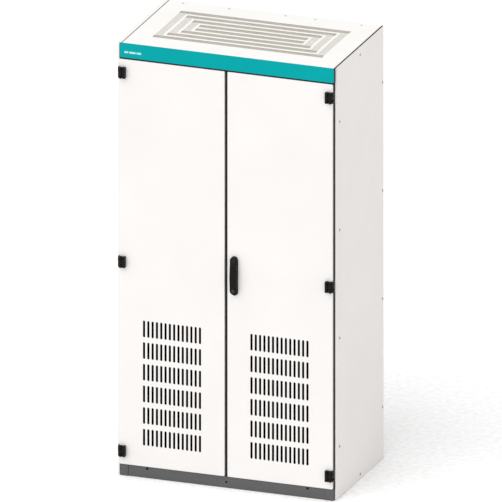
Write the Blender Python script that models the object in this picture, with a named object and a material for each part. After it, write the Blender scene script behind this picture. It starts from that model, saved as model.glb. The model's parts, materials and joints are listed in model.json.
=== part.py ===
"""Free-standing two-door drive cabinet: a variable frequency drive in its enclosure.

Metres, +Z up, doors towards -Y. The origin is on the floor, under the middle of the box
that the whole cabinet fills.
"""

import math

import bmesh
import bpy

# ---------------------------------------------------------------- driving dimensions
GAP = 0.0003                     # air between pieces that touch
HEIGHT = 2.000                   # floor to roof
FRAME_HALF_WIDTH = 0.496         # outer faces of the welded frame
BODY_HALF_WIDTH = 0.4985         # header flanges
PLINTH_X = {-1: -0.4930, 1: 0.4985}        # the plinth's left and right ends
ROOF_X = (-0.4838, 0.4998)
HEADER_X = (-0.4960, 0.5075)       # the fascia reaches over the right side panel's edge
PANEL_INNER = 0.5003             # side panel, inner rim
PANEL_OUTER = 0.509              # side panel, outer face
FRONT = -0.291                   # outer face of the doors
BACK = 0.317                     # outer face of the rear panel
HANDLE_PROUD = 0.026             # how far the grip stands off the doors

DOOR_BOTTOM = 0.050
DOOR_TOP = 1.925
DOOR_DEPTH = 0.022
DOOR_OUTER_EDGE = 0.4955
DOOR_SEAM_HALF = 0.002
DOOR_LIP = 0.018
SHEET = 0.0015                   # folded sheet steel

SLOT_COLUMNS = 14
SLOT_ROWS = 6
SLOT_PITCH_X = 0.020
SLOT_PITCH_Z = 0.100
SLOT_WIDTH = 0.0096
SLOT_HEIGHT = 0.0775
SLOT_FIRST_Z = 0.150
SLOT_FIELD_X = {-1: -0.251, 1: 0.2485}     # middle of each door's slot field

FRAME_FRONT = FRONT + 0.026
FRAME_BACK = BACK - 0.0098
POST = 0.045
POST_WALL = 0.003
FRAME_BOTTOM_Z = (0.0503, 0.095)
FRAME_TOP_Z = (1.895, 1.985)
CABLE_GAP_Y = (0.074, 0.194)     # between the two floor plates
PLINTH_TOP = 0.050
HEADER_BOTTOM = 1.928
HEADER_WALL = 0.002

HINGE_HEIGHTS = {"bottom": 0.116, "middle": 0.9895, "top": 1.8640}
HINGE_X = 0.4875                 # pin axis
HINGE_Y = FRONT - 0.010
HINGE_HALF_HEIGHT = 0.025
KNUCKLE_RADIUS = 0.008
KNUCKLE_HALF = 0.0075            # the middle knuckle, half its height
HINGE_PIN_RADIUS = 0.0035
HINGE_PROUD = 0.018

HANDLE_X = 0.0400
HANDLE_BOTTOM = 0.8960
HANDLE_TOP = 1.0765
HANDLE_HALF_WIDTH = 0.0165
HUB_Z = HANDLE_TOP - HANDLE_HALF_WIDTH
BASE_THICKNESS = 0.007
HUB_PROUD = 0.018
TILT_Z = HUB_Z - 0.022           # the lever's hinge pin
LEVER_BOTTOM = HANDLE_BOTTOM + 0.008   # the base's round foot shows below the lever
TILT_Y = FRONT - 0.0130
TILT_PIN_RADIUS = 0.002
SPINDLE_RADIUS = 0.006
CYLINDER_Z = LEVER_BOTTOM + 0.0165
CYLINDER_RADIUS = 0.0075
PINION_RADIUS = 0.0125
ROD_OFFSET = (0.0132, 0.0182)    # a rod's near and far side from the spindle
ROD_END_CLEARANCE = 0.022

PLATE_Y = 0.2585                 # back of the mounting plate
PLATE_THICKNESS = 0.003
PLATE_FACE = PLATE_Y - PLATE_THICKNESS - GAP   # where equipment begins

DRIVE_X = (0.000, 0.400)
DRIVE_Z = (0.640, 1.700)
DRIVE_DEPTH = 0.340
FAN_CENTRE = (0.200, 0.074)
FAN_Z = (0.578, DRIVE_Z[0] - GAP)
FAN_RADIUS = 0.090
REACTOR_X = (-0.420, -0.060)
REACTOR_Y = (-0.086, 0.034)
REACTOR_Z = (0.0559, 0.3800)
SWITCH_CENTRE = (-0.300, 1.600)
SWITCH_FACE = PLATE_FACE - 0.130

ROUND = 16                       # sides of a small round piece


# ---------------------------------------------------------------- scene and materials
def clear_scene():
    for old in list(bpy.data.objects):
        bpy.data.objects.remove(old, do_unlink=True)


def material(name, colour, roughness, metallic=0.0):
    made = bpy.data.materials.new(name)
    made.use_nodes = True
    shader = made.node_tree.nodes["Principled BSDF"]
    shader.inputs["Base Color"].default_value = (*colour, 1.0)
    shader.inputs["Roughness"].default_value = roughness
    shader.inputs["Metallic"].default_value = metallic
    return made


def palette():
    return {
        "paint": ((0.91, 0.90, 0.87), 0.55, 0.0),
        "header": ((0.10, 0.33, 0.30), 0.50, 0.0),
        "plinth": ((0.12, 0.12, 0.125), 0.60, 0.0),
        "black": ((0.012, 0.012, 0.012), 0.45, 0.0),
        "galvanised": ((0.62, 0.63, 0.64), 0.40, 0.9),
        "steel": ((0.55, 0.55, 0.56), 0.30, 1.0),
        "aluminium": ((0.72, 0.73, 0.74), 0.35, 1.0),
        "copper": ((0.72, 0.38, 0.22), 0.30, 1.0),
        "core": ((0.20, 0.21, 0.23), 0.60, 0.6),
        "varnish": ((0.45, 0.20, 0.08), 0.50, 0.0),
        "filter": ((0.05, 0.05, 0.05), 0.95, 0.0),
        "rubber": ((0.03, 0.03, 0.03), 0.80, 0.0),
        "dark_cover": ((0.10, 0.105, 0.11), 0.50, 0.0),
        "device": ((0.25, 0.26, 0.27), 0.50, 0.0),
        "red": ((0.60, 0.02, 0.02), 0.40, 0.0),
        "capacitor": ((0.06, 0.08, 0.12), 0.45, 0.0),
        "terminal": ((0.45, 0.46, 0.45), 0.55, 0.0),
    }


# ---------------------------------------------------------------- mesh helpers
def place(name, bm, look, origin=(0.0, 0.0, 0.0), smooth=False):
    """Turns a bmesh in world coordinates into an object whose own origin is given."""
    bmesh.ops.translate(bm, verts=bm.verts, vec=[-value for value in origin])
    mesh = bpy.data.meshes.new(name)
    bm.to_mesh(mesh)
    bm.free()
    if smooth:
        mesh.shade_smooth()
        mesh.set_sharp_from_angle(angle=math.radians(35))
    made = bpy.data.objects.new(name, mesh)
    made.location = origin
    mesh.materials.append(material(name, *palette()[look]))
    bpy.context.scene.collection.objects.link(made)
    return made


def close(bm):
    bmesh.ops.recalc_face_normals(bm, faces=bm.faces)
    return bm


def as_point(axis, along, first, second):
    """A point from its place along an axis and its two other coordinates, in X, Y, Z order."""
    if axis == "X":
        return (along, first, second)
    if axis == "Y":
        return (first, along, second)
    return (first, second, along)


def prism(outline, axis, start, end):
    """An outline of (first, second) coordinates, extruded along an axis."""
    bm = bmesh.new()
    near = [bm.verts.new(as_point(axis, start, *point)) for point in outline]
    far = [bm.verts.new(as_point(axis, end, *point)) for point in outline]
    bm.faces.new(near)
    bm.faces.new(list(reversed(far)))
    for index in range(len(outline)):
        following = (index + 1) % len(outline)
        bm.faces.new((near[index], far[index], far[following], near[following]))
    return close(bm)


def rectangle(first, second):
    return [(first[0], second[0]), (first[1], second[0]),
            (first[1], second[1]), (first[0], second[1])]


def box(x, y, z):
    return prism(rectangle(x, y), "Z", z[0], z[1])


def circle(centre, radius, sides=ROUND, start=0.0, turn=2 * math.pi):
    """Points on a circle, or on the part of it that a turn gives, both ends included."""
    whole = turn >= 2 * math.pi
    steps = sides if whole else sides - 1
    points = []
    for index in range(sides):
        angle = start + turn * index / steps
        points.append((centre[0] + radius * math.cos(angle), centre[1] + radius * math.sin(angle)))
    return points


def stadium(centre_x, z, radius, sides=9):
    """An upright outline with straight sides and half-round ends."""
    top = circle((centre_x, z[1] - radius), radius, sides, 0.0, math.pi)
    bottom = circle((centre_x, z[0] + radius), radius, sides, math.pi, math.pi)
    return top + bottom


def ring(outer, inner, axis, start, end):
    """A plate between two outlines that have the same number of points."""
    bm = bmesh.new()
    loops = []
    for along, outline in ((start, outer), (end, outer), (end, inner), (start, inner)):
        loops.append([bm.verts.new(as_point(axis, along, *point)) for point in outline])
    sew(bm, loops, closed=True)
    return close(bm)


def sew(bm, loops, closed=False):
    """Joins neighbouring loops of points with four-sided faces."""
    pairs = list(zip(loops, loops[1:]))
    if closed:
        pairs.append((loops[-1], loops[0]))
    for near, far in pairs:
        for index in range(len(near)):
            following = (index + 1) % len(near)
            bm.faces.new((near[index], far[index], far[following], near[following]))


def moulding(x_half, y, profile):
    """A mitred rectangular frame: its section is a list of (inset, height) points."""
    bm = bmesh.new()
    loops = []
    for inset, z in profile:
        x = (-x_half + inset, x_half - inset)
        depth = (y[0] + inset, y[1] - inset)
        loops.append([bm.verts.new((*point, z)) for point in rectangle(x, depth)])
    sew(bm, loops, closed=True)
    return close(bm)


def thicken(made, thickness=SHEET):
    """Gives a folded surface its sheet thickness, inwards from its outer side."""
    solidify = made.modifiers.new("sheet", "SOLIDIFY")
    solidify.thickness = thickness
    solidify.offset = -1.0
    solidify.use_even_offset = True
    return made


def hide_tool(tool):
    tool.hide_render = True
    tool.display_type = "WIRE"
    return tool


def combine(made, bm, operation):
    """Adds a shape to an object, or cuts it away, with a Boolean."""
    tool = hide_tool(place(made.name + "_tool", bm, "steel"))
    boolean = made.modifiers.new(operation.lower(), "BOOLEAN")
    boolean.operation = operation
    boolean.object = tool
    boolean.solver = "EXACT"
    return made


def add(made, bm):
    return combine(made, bm, "UNION")


def cut(made, bm):
    return combine(made, bm, "DIFFERENCE")


def folded_tray(x, y, z, opening):
    """Five sides of a box, left open on the side that is named, such as '+Y'."""
    bm = box(x, y, z)
    axis = "XYZ".index(opening[1])
    sign = 1.0 if opening[0] == "+" else -1.0
    bm.faces.ensure_lookup_table()
    lid = [face for face in bm.faces if face.normal[axis] * sign > 0.9]
    bmesh.ops.delete(bm, geom=lid, context="FACES_ONLY")
    return bm


# ---------------------------------------------------------------- frame and shell
def mirrored(side, low, high):
    """A span on the right-hand side, or its mirror image on the left."""
    return (low, high) if side > 0 else (-high, -low)


def build_posts():
    corners = {"post_front_left": (-1, 1), "post_front_right": (1, 1),
               "post_rear_left": (-1, -1), "post_rear_right": (1, -1)}
    for name, (side, towards_back) in corners.items():
        x = side * FRAME_HALF_WIDTH
        y = FRAME_FRONT if towards_back > 0 else FRAME_BACK
        legs = [(0, 0), (POST, 0), (POST, 0.012), (POST - POST_WALL, 0.012),
                (POST - POST_WALL, POST_WALL), (POST_WALL, POST_WALL),
                (POST_WALL, POST - POST_WALL), (0.012, POST - POST_WALL),
                (0.012, POST), (0, POST)]
        outline = [(x - side * inward, y + towards_back * depth) for inward, depth in legs]
        place(name, prism(outline, "Z", FRAME_BOTTOM_Z[1] + GAP, FRAME_TOP_Z[0] - GAP), "galvanised")


def build_frame_rings():
    low, high = FRAME_BOTTOM_Z
    wall = POST_WALL
    section = [(0, low), (0, high), (wall, high), (wall, low + wall), (POST, low + wall), (POST, low)]
    place("bottom_frame", moulding(FRAME_HALF_WIDTH, (FRAME_FRONT, FRAME_BACK), section), "galvanised")
    low, high = FRAME_TOP_Z
    section = [(0, low), (0, high), (POST, high), (POST, high - wall), (wall, high - wall), (wall, low)]
    place("top_frame", moulding(FRAME_HALF_WIDTH, (FRAME_FRONT, FRAME_BACK), section), "galvanised")


def channel(depth, outward, back):
    """A C-section in (depth, height), open away from the side that faces out."""
    wall = 0.003
    inner = outward + wall * depth
    return [(outward, 0.0), (outward, PLINTH_TOP), (back, PLINTH_TOP), (back, PLINTH_TOP - wall),
            (inner, PLINTH_TOP - wall), (inner, wall), (back, wall), (back, 0.0)]


def build_plinth():
    corner = 0.038
    recess = 0.002
    for name, towards_back, face in (("plinth_front", 1, FRONT + 0.001), ("plinth_rear", -1, BACK - 0.002)):
        back = face + towards_back * POST
        outline = channel(towards_back, face + towards_back * recess, back)
        beam = place(name, prism(outline, "X", PLINTH_X[-1] + 0.010, PLINTH_X[1] - 0.010), "plinth")
        for side in (-1, 1):
            x = sorted((PLINTH_X[side] - side * corner, PLINTH_X[side]))
            add(beam, box(x, sorted((face, back)), (0.0, PLINTH_TOP)))
            plug = prism(circle((side * 0.378, PLINTH_TOP - 0.010), 0.006), "Y", face - 0.01, back - 0.01)
            if towards_back > 0:
                cut(beam, plug)
    inner_ends = (FRONT + 0.001 + POST + GAP, BACK - 0.002 - POST - GAP)
    for name, side in (("plinth_left", -1), ("plinth_right", 1)):
        outline = channel(-side, PLINTH_X[side], PLINTH_X[side] - side * POST)
        place(name, prism(outline, "Y", *inner_ends), "plinth")


def build_shell():
    for name, side in (("side_panel_left", -1), ("side_panel_right", 1)):
        x = mirrored(side, PANEL_INNER, PANEL_OUTER)
        opening = "-X" if side > 0 else "+X"
        tray = folded_tray(x, (FRONT + 0.016, BACK - 0.0005), (0.003, HEIGHT - 0.002), opening)
        thicken(place(name, tray, "paint"))
    x = (-FRAME_HALF_WIDTH, FRAME_HALF_WIDTH)
    rear = folded_tray(x, (FRAME_BACK + GAP, BACK), (PLINTH_TOP + 0.002, FRAME_TOP_Z[1]), "-Y")
    thicken(place("rear_panel", rear, "paint"))
    build_header()


def build_header():
    """A coloured strip over the doors: a fascia with two flanges that reach back to the frame."""
    wall = HEADER_WALL
    back = FRAME_FRONT - GAP
    flange = FRAME_TOP_Z[1] - wall
    outline = [(FRONT, HEADER_BOTTOM), (back, HEADER_BOTTOM), (back, HEADER_BOTTOM + wall),
               (FRONT + wall, HEADER_BOTTOM + wall), (FRONT + wall, flange - wall), (back, flange - wall),
               (back, flange), (FRONT + wall, flange), (FRONT + wall, HEIGHT), (FRONT, HEIGHT)]
    header = place("header_strip", prism(outline, "X", HEADER_X[0], BODY_HALF_WIDTH), "header")
    overlap = (BODY_HALF_WIDTH - 0.001, HEADER_X[1])
    add(header, box(overlap, (FRONT, FRONT + wall), (HEADER_BOTTOM, HEIGHT)))


def build_roof():
    """The roof is a shallow tray, with rows of long air slots under a field of 0.8 by 0.4 m."""
    rows = 8
    pitch = 0.0517
    slot = (0.186, 0.036)
    first_y = FRONT + 0.120
    x = ROOF_X
    y = (FRONT + HEADER_WALL + GAP, BACK - 0.0005)
    columns = 4
    pitch_x = 0.200
    middle = (x[0] + x[1]) / 2
    slots_x = [middle + pitch_x * (index - (columns - 1) / 2) for index in range(columns)]
    slots_y = [first_y + pitch * index for index in range(rows)]
    bm = slotted_sheet("Z", HEIGHT, x, y, (slots_x, slot[0]), (slots_y, slot[1]))
    fold_down(bm, [(0.0, FRAME_TOP_Z[1] + GAP - HEIGHT)], "Z", HEIGHT, x, y)
    thicken(place("roof_panel", close(bm), "paint"), 0.002)


def slotted_sheet(axis, along, first, second, slots_first, slots_second):
    """A flat sheet with a grid of slots: slots_first and slots_second give (centres, size)."""
    bm = bmesh.new()
    cuts = []
    for centres, size in (slots_first, slots_second):
        cuts.append([centre + side * size / 2 for centre in centres for side in (-1, 1)])
    grid = [[bm.verts.new(as_point(axis, along, a, b)) for b in cuts[1]] for a in cuts[0]]
    for i in range(len(cuts[0]) - 1):
        for j in range(len(cuts[1]) - 1):
            if i % 2 == 0 and j % 2 == 0:
                continue
            bm.faces.new((grid[i][j], grid[i + 1][j], grid[i + 1][j + 1], grid[i][j + 1]))
    corners = [bm.verts.new(as_point(axis, along, *point)) for point in rectangle(first, second)]
    low = [column[0] for column in grid]
    high = [column[-1] for column in grid]
    bm.faces.new([corners[0], corners[1]] + list(reversed(low)))
    bm.faces.new([corners[1], corners[2]] + list(reversed(grid[-1])))
    bm.faces.new([corners[2], corners[3]] + high)
    bm.faces.new([corners[3], corners[0]] + grid[0])
    return bm


def fold_down(bm, steps, axis, along, first, second):
    """Folds a sheet's rim: each step is (inset, offset along the axis) from the sheet."""
    corners = [corner_of(bm, as_point(axis, along, *point)) for point in rectangle(first, second)]
    loops = [corners]
    for inset, offset in steps:
        inner = rectangle((first[0] + inset, first[1] - inset), (second[0] + inset, second[1] - inset))
        loops.append([bm.verts.new(as_point(axis, along + offset, *point)) for point in inner])
    sew(bm, loops)


def corner_of(bm, place_of_corner):
    def distance(vertex):
        return sum((a - b) ** 2 for a, b in zip(vertex.co, place_of_corner))
    return min(bm.verts, key=distance)


def build_floor():
    """Two floor plates lie on the bottom frame, and the cables come up through the gap between them."""
    inset = POST_WALL + 0.001
    low = FRAME_BOTTOM_Z[0] + POST_WALL + GAP
    x = (-FRAME_HALF_WIDTH + inset, FRAME_HALF_WIDTH - inset)
    for name, y in (("floor_plate_front", (FRAME_FRONT + inset, CABLE_GAP_Y[0])),
                    ("floor_plate_rear", (CABLE_GAP_Y[1], FRAME_BACK - inset))):
        place(name, box(x, y, (low, low + 0.002)), "galvanised")


# ---------------------------------------------------------------- doors, gaskets and filters
def door_span(side):
    return mirrored(side, DOOR_SEAM_HALF, DOOR_OUTER_EDGE)


def build_door(name, side):
    """A folded steel door: slotted sheet, flanges, and a lip that carries the gasket."""
    x = door_span(side)
    z = (DOOR_BOTTOM, DOOR_TOP)
    middle = SLOT_FIELD_X[side]
    columns = [middle + SLOT_PITCH_X * (index - (SLOT_COLUMNS - 1) / 2) for index in range(SLOT_COLUMNS)]
    rows = [SLOT_FIRST_Z + SLOT_HEIGHT / 2 + SLOT_PITCH_Z * index for index in range(SLOT_ROWS)]
    bm = slotted_sheet("Y", FRONT, x, z, (columns, SLOT_WIDTH), (rows, SLOT_HEIGHT))
    fold_down(bm, [(0.0, DOOR_DEPTH), (DOOR_LIP, DOOR_DEPTH)], "Y", FRONT, x, z)
    return thicken(place(name, close(bm), "paint", origin=(side * HINGE_X, HINGE_Y, 0.0)))


def build_doors():
    for name, side in (("left_door", -1), ("right_door", 1)):
        door = build_door(name, side)
        if side > 0:
            cut(door, prism(circle((HANDLE_X, HUB_Z), SPINDLE_RADIUS + 0.003), "Y",
                            FRONT - 0.005, FRONT + 0.005))
        prefix = name.split("_")[0]
        x = door_span(side)
        rim = 0.008
        outer = rectangle((x[0] + rim, x[1] - rim), (DOOR_BOTTOM + rim, DOOR_TOP - rim))
        inset = rim + 0.008
        inner = rectangle((x[0] + inset, x[1] - inset), (DOOR_BOTTOM + inset, DOOR_TOP - inset))
        start = FRONT + DOOR_DEPTH + GAP
        place(prefix + "_door_gasket", ring(outer, inner, "Y", start, start + 0.003), "rubber")
        middle = SLOT_FIELD_X[side]
        half = SLOT_PITCH_X * SLOT_COLUMNS / 2 + 0.010
        low = SLOT_FIRST_Z - 0.020
        high = SLOT_FIRST_Z + SLOT_PITCH_Z * SLOT_ROWS - 0.006
        mat = box((middle - half, middle + half), (FRONT + SHEET + GAP, FRONT + 0.012), (low, high))
        place(prefix + "_filter_mat", mat, "filter")


def build_hinges():
    for side_name, side in (("left", -1), ("right", 1)):
        for height_name, z in HINGE_HEIGHTS.items():
            ending = side_name + "_" + height_name
            build_hinge_bracket("hinge_bracket_" + ending, side, z)
            build_hinge_leaf("hinge_leaf_" + ending, side, z)


def knuckle(side, z, radius=KNUCKLE_RADIUS, sides=12):
    return prism(circle((side * HINGE_X, HINGE_Y), radius, sides), "Z", *z)


def build_hinge_bracket(name, side, z):
    """The part on the post: an angled strap with an upper and a lower knuckle, and the pin."""
    strap = 0.003
    outer = FRAME_HALF_WIDTH + GAP + strap
    bottom, top = z - HINGE_HALF_HEIGHT, z + HINGE_HALF_HEIGHT
    web = (HINGE_Y + 0.001, HINGE_Y + 0.0065)
    plan = [(outer - strap, FRAME_FRONT + 0.035), (outer, FRAME_FRONT + 0.035), (outer, web[0]),
            (HINGE_X + 0.004, web[0]), (HINGE_X + 0.004, web[1]), (outer - strap, web[1])]
    outline = [(side * x, y) for x, y in plan]
    bracket = place(name, prism(outline, "Z", bottom, top), "black", smooth=True)
    room = 0.0005
    cut(bracket, knuckle(side, (z - KNUCKLE_HALF - room, z + KNUCKLE_HALF + room), KNUCKLE_RADIUS + room))
    add(bracket, knuckle(side, (bottom, z - KNUCKLE_HALF - room)))
    add(bracket, knuckle(side, (z + KNUCKLE_HALF + room, top)))
    pin_span = (bottom - 0.003, top - 0.003)
    add(bracket, knuckle(side, pin_span, HINGE_PIN_RADIUS))


def build_hinge_leaf(name, side, z):
    """The part on the door: a block with the middle knuckle, which turns on the pin."""
    inner = HINGE_X - 0.0230
    near = HINGE_X - KNUCKLE_RADIUS - 0.001
    back, face = FRONT - GAP, FRONT - HINGE_PROUD
    plan = [(inner, back), (near, back), (near, face + 0.004), (near - 0.003, face), (inner, face)]
    outline = [(side * x, y) for x, y in plan]
    block = prism(outline, "Z", z - HINGE_HALF_HEIGHT, z + HINGE_HALF_HEIGHT)
    leaf = place(name, block, "black", origin=(side * HINGE_X, HINGE_Y, z), smooth=True)
    arm = mirrored(side, near - 0.001, HINGE_X)
    span = (z - KNUCKLE_HALF, z + KNUCKLE_HALF)
    add(leaf, box(arm, (HINGE_Y - 0.006, HINGE_Y + 0.006), span))
    add(leaf, knuckle(side, span))
    cut(leaf, knuckle(side, (span[0] - 0.001, span[1] + 0.001), HINGE_PIN_RADIUS + GAP))


# ---------------------------------------------------------------- swing handle and lock
def build_handle():
    build_handle_base()
    build_handle_hub()
    build_handle_lever()
    face = FRONT - BASE_THICKNESS - GAP
    outline = circle((HANDLE_X, CYLINDER_Z), CYLINDER_RADIUS)
    origin = (HANDLE_X, face, CYLINDER_Z)
    core = prism(outline, "Y", FRONT - 0.0235, face - 0.0006)
    place("lock_cylinder", core, "steel", origin=origin, smooth=True)


def build_handle_base():
    outline = stadium(HANDLE_X, (HANDLE_BOTTOM, HANDLE_TOP), HANDLE_HALF_WIDTH)
    plate = prism(outline, "Y", FRONT - BASE_THICKNESS, FRONT - GAP)
    base = place("handle_base", plate, "black", smooth=True)
    cut(base, prism(circle((HANDLE_X, HUB_Z), SPINDLE_RADIUS + 0.001), "Y", FRONT - 0.02, FRONT + 0.005))


def build_handle_hub():
    """The hub turns in the base. Its spindle goes through the door to the pinion."""
    back = FRONT - BASE_THICKNESS - GAP
    spindle = prism(circle((HANDLE_X, HUB_Z), SPINDLE_RADIUS), "Y", back - 0.002, FRONT + 0.0180)
    hub = place("handle_hub", spindle, "black", origin=(HANDLE_X, FRONT, HUB_Z), smooth=True)
    add(hub, prism(circle((HANDLE_X, HUB_Z), HANDLE_HALF_WIDTH - 0.0005, 20), "Y", FRONT - HUB_PROUD, back))
    lug_y = (FRONT - HUB_PROUD + 0.001, back)
    add(hub, box((HANDLE_X - 0.006, HANDLE_X + 0.006), lug_y, (TILT_Z - 0.005, HUB_Z)))
    hole = prism(circle((TILT_Y, TILT_Z), TILT_PIN_RADIUS + GAP, 12), "X", HANDLE_X - 0.01, HANDLE_X + 0.01)
    cut(hub, hole)


def build_handle_lever():
    """The lever hangs from the hub on a cross pin, and its fork straddles the hub's lug."""
    back = FRONT - BASE_THICKNESS - 0.0008
    top = TILT_Z + 0.0050
    front_curve = [(FRONT - 0.0175, TILT_Z + 0.0035), (FRONT - 0.0200, TILT_Z - 0.010)]
    low, high = LEVER_BOTTOM + 0.0285, TILT_Z - 0.018
    steps = 8
    for index in range(steps + 1):
        share = index / steps
        swell = math.sin(math.pi * share) ** 0.8
        front_curve.append((FRONT - 0.0220 - (HANDLE_PROUD - 0.0220) * swell, high - (high - low) * share))
    bottom = LEVER_BOTTOM
    front_curve += [(FRONT - 0.0215, bottom + 0.006), (FRONT - 0.0190, bottom)]
    outline = [(back, bottom), (back, TILT_Z - 0.002), (back - 0.0015, top)] + front_curve
    half = HANDLE_HALF_WIDTH - 0.0005
    body = prism(outline, "X", HANDLE_X - half, HANDLE_X + half)
    lever = place("handle_lever", body, "black", origin=(HANDLE_X, TILT_Y, TILT_Z), smooth=True)
    fork = (HANDLE_X - 0.0065, HANDLE_X + 0.0065)
    cut(lever, box(fork, (FRONT - 0.05, FRONT), (TILT_Z - 0.0065, TILT_Z + 0.02)))
    pin = prism(circle((TILT_Y, TILT_Z), TILT_PIN_RADIUS, 12), "X", HANDLE_X - 0.008, HANDLE_X + 0.008)
    add(lever, pin)
    cut(lever, prism(circle((HANDLE_X, CYLINDER_Z), CYLINDER_RADIUS + 0.0004), "Y", FRONT - 0.05, FRONT))


def build_lock():
    """Behind the door: an open channel round the pinion, and two flat rods that it drives."""
    wall = 0.0015
    x = (HANDLE_X - 0.0215, HANDLE_X + 0.0215)
    y = (FRONT + SHEET + GAP, FRONT + 0.0202)
    outline = [(x[0], y[0]), (x[0], y[1]), (x[1], y[1]), (x[1], y[0]), (x[1] - wall, y[0]),
               (x[1] - wall, y[1] - wall), (x[0] + wall, y[1] - wall), (x[0] + wall, y[0])]
    place("lock_case", prism(outline, "Z", HUB_Z - 0.032, HUB_Z + 0.032), "galvanised")
    pinion = ring(circle((HANDLE_X, HUB_Z), PINION_RADIUS), circle((HANDLE_X, HUB_Z), SPINDLE_RADIUS + GAP),
                  "Y", FRONT + 0.0050, FRONT + 0.0150)
    place("lock_pinion", pinion, "steel", origin=(HANDLE_X, FRONT + 0.010, HUB_Z), smooth=True)
    thickness = (FRONT + 0.0055, FRONT + 0.0145)
    near, far = ROD_OFFSET
    overlap = 0.014
    upper = (HUB_Z - overlap, DOOR_TOP - ROD_END_CLEARANCE)
    lower = (DOOR_BOTTOM + ROD_END_CLEARANCE, HUB_Z + overlap)
    place("upper_rod", box((HANDLE_X - far, HANDLE_X - near), thickness, upper), "steel")
    place("lower_rod", box((HANDLE_X + near, HANDLE_X + far), thickness, lower), "steel")


# ---------------------------------------------------------------- equipment
def build_mounting_plate():
    plate = box((-0.470, 0.470), (PLATE_Y - PLATE_THICKNESS, PLATE_Y), (0.140, 1.860))
    place("mounting_plate", plate, "galvanised")
    strip = box((-0.400, 0.400), (PLATE_FACE - 0.026, PLATE_FACE - 0.020), (0.180, 0.220))
    bar = place("earth_bar", strip, "copper")
    for x in (-0.350, 0.350):
        add(bar, box((x - 0.012, x + 0.012), (PLATE_FACE - 0.024, PLATE_FACE), (0.188, 0.212)))
    for index in range(12):
        x = -0.275 + 0.050 * index
        cut(bar, prism(circle((x, 0.200), 0.0045, 8), "Y", PLATE_FACE - 0.030, PLATE_FACE - 0.010))


def build_drive():
    """The converter module: an open-fronted chassis with its heat sink, capacitors and cover."""
    front = PLATE_FACE - DRIVE_DEPTH
    wall = 0.002
    chassis = folded_tray(DRIVE_X, (front, PLATE_FACE), DRIVE_Z, "-Y")
    chassis = thicken(place("drive_chassis", chassis, "galvanised"), wall)
    fan_x, fan_y = FAN_CENTRE
    cut(chassis, prism(circle(FAN_CENTRE, FAN_RADIUS - 0.004, 20), "Z", DRIVE_Z[0] - 0.01, DRIVE_Z[0] + 0.01))
    vent_x = (fan_x - 0.130, fan_x + 0.130)
    vent_y = (fan_y - 0.070, fan_y + 0.070)
    cut(chassis, box(vent_x, vent_y, (DRIVE_Z[1] - 0.01, DRIVE_Z[1] + 0.01)))
    cover_x = (DRIVE_X[0] - 0.0025, DRIVE_X[1] + 0.0025)
    cover_z = (DRIVE_Z[0] - 0.0025, DRIVE_Z[1] + 0.0025)
    cover = folded_tray(cover_x, (front - 0.012, front + 0.020), cover_z, "+Y")
    thicken(place("drive_cover", cover, "dark_cover"), wall)
    build_heat_sink()
    build_capacitors(front)


def build_heat_sink():
    fins = 16
    x = (DRIVE_X[0] + 0.020, DRIVE_X[1] - 0.020)
    base_front = PLATE_FACE - 0.130
    base_back = base_front + 0.014
    tip = PLATE_FACE - 0.010
    pitch = (x[1] - x[0]) / fins
    outline = [(x[0], base_front), (x[1], base_front)]
    for index in reversed(range(fins)):
        start = x[0] + pitch * index
        outline += [(start + pitch * 0.7, base_back), (start + pitch * 0.7, tip),
                    (start + pitch * 0.3, tip), (start + pitch * 0.3, base_back)]
    outline.insert(2, (x[1], base_back))
    outline.append((x[0], base_back))
    place("heat_sink", prism(outline, "Z", 0.760, 1.560), "aluminium")


def build_capacitors(front):
    board_y = (front + 0.150, front + 0.154)
    board = place("capacitor_bank", box((0.030, 0.370), board_y, (0.700, 1.240)), "capacitor", smooth=True)
    for row in range(3):
        for column in range(2):
            centre = (0.115 + 0.170 * column, 0.790 + 0.180 * row)
            add(board, prism(circle(centre, 0.038), "Y", front + 0.040, board_y[0] + 0.002))


def build_fan():
    housing_x = (FAN_CENTRE[0] - 0.100, FAN_CENTRE[0] + 0.100)
    housing_y = (FAN_CENTRE[1] - 0.100, FAN_CENTRE[1] + 0.100)
    low, high = FAN_Z
    housing = place("fan_housing", box(housing_x, housing_y, (low, high)), "black", smooth=True)
    cut(housing, prism(circle(FAN_CENTRE, FAN_RADIUS, 24), "Z", low + 0.006, high + 0.01))
    for quarter in range(4):
        start = math.radians(90 * quarter + 12)
        sector = circle(FAN_CENTRE, FAN_RADIUS - 0.004, 7, start, math.radians(66))
        sector += list(reversed(circle(FAN_CENTRE, 0.034, 7, start, math.radians(66))))
        cut(housing, prism(sector, "Z", low - 0.01, low + 0.01))
    blades = 7
    outline = []
    for index in range(blades):
        for share, radius in ((0.00, 0.032), (0.40, 0.055), (0.75, FAN_RADIUS - 0.006),
                              (0.85, FAN_RADIUS - 0.006), (0.60, 0.055), (0.35, 0.032)):
            angle = 2 * math.pi * (index + share) / blades
            x = FAN_CENTRE[0] + radius * math.cos(angle)
            outline.append((x, FAN_CENTRE[1] + radius * math.sin(angle)))
    wheel = prism(outline, "Z", low + 0.010, low + 0.045)
    place("fan_impeller", wheel, "black", origin=(*FAN_CENTRE, low + 0.027), smooth=True)


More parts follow.
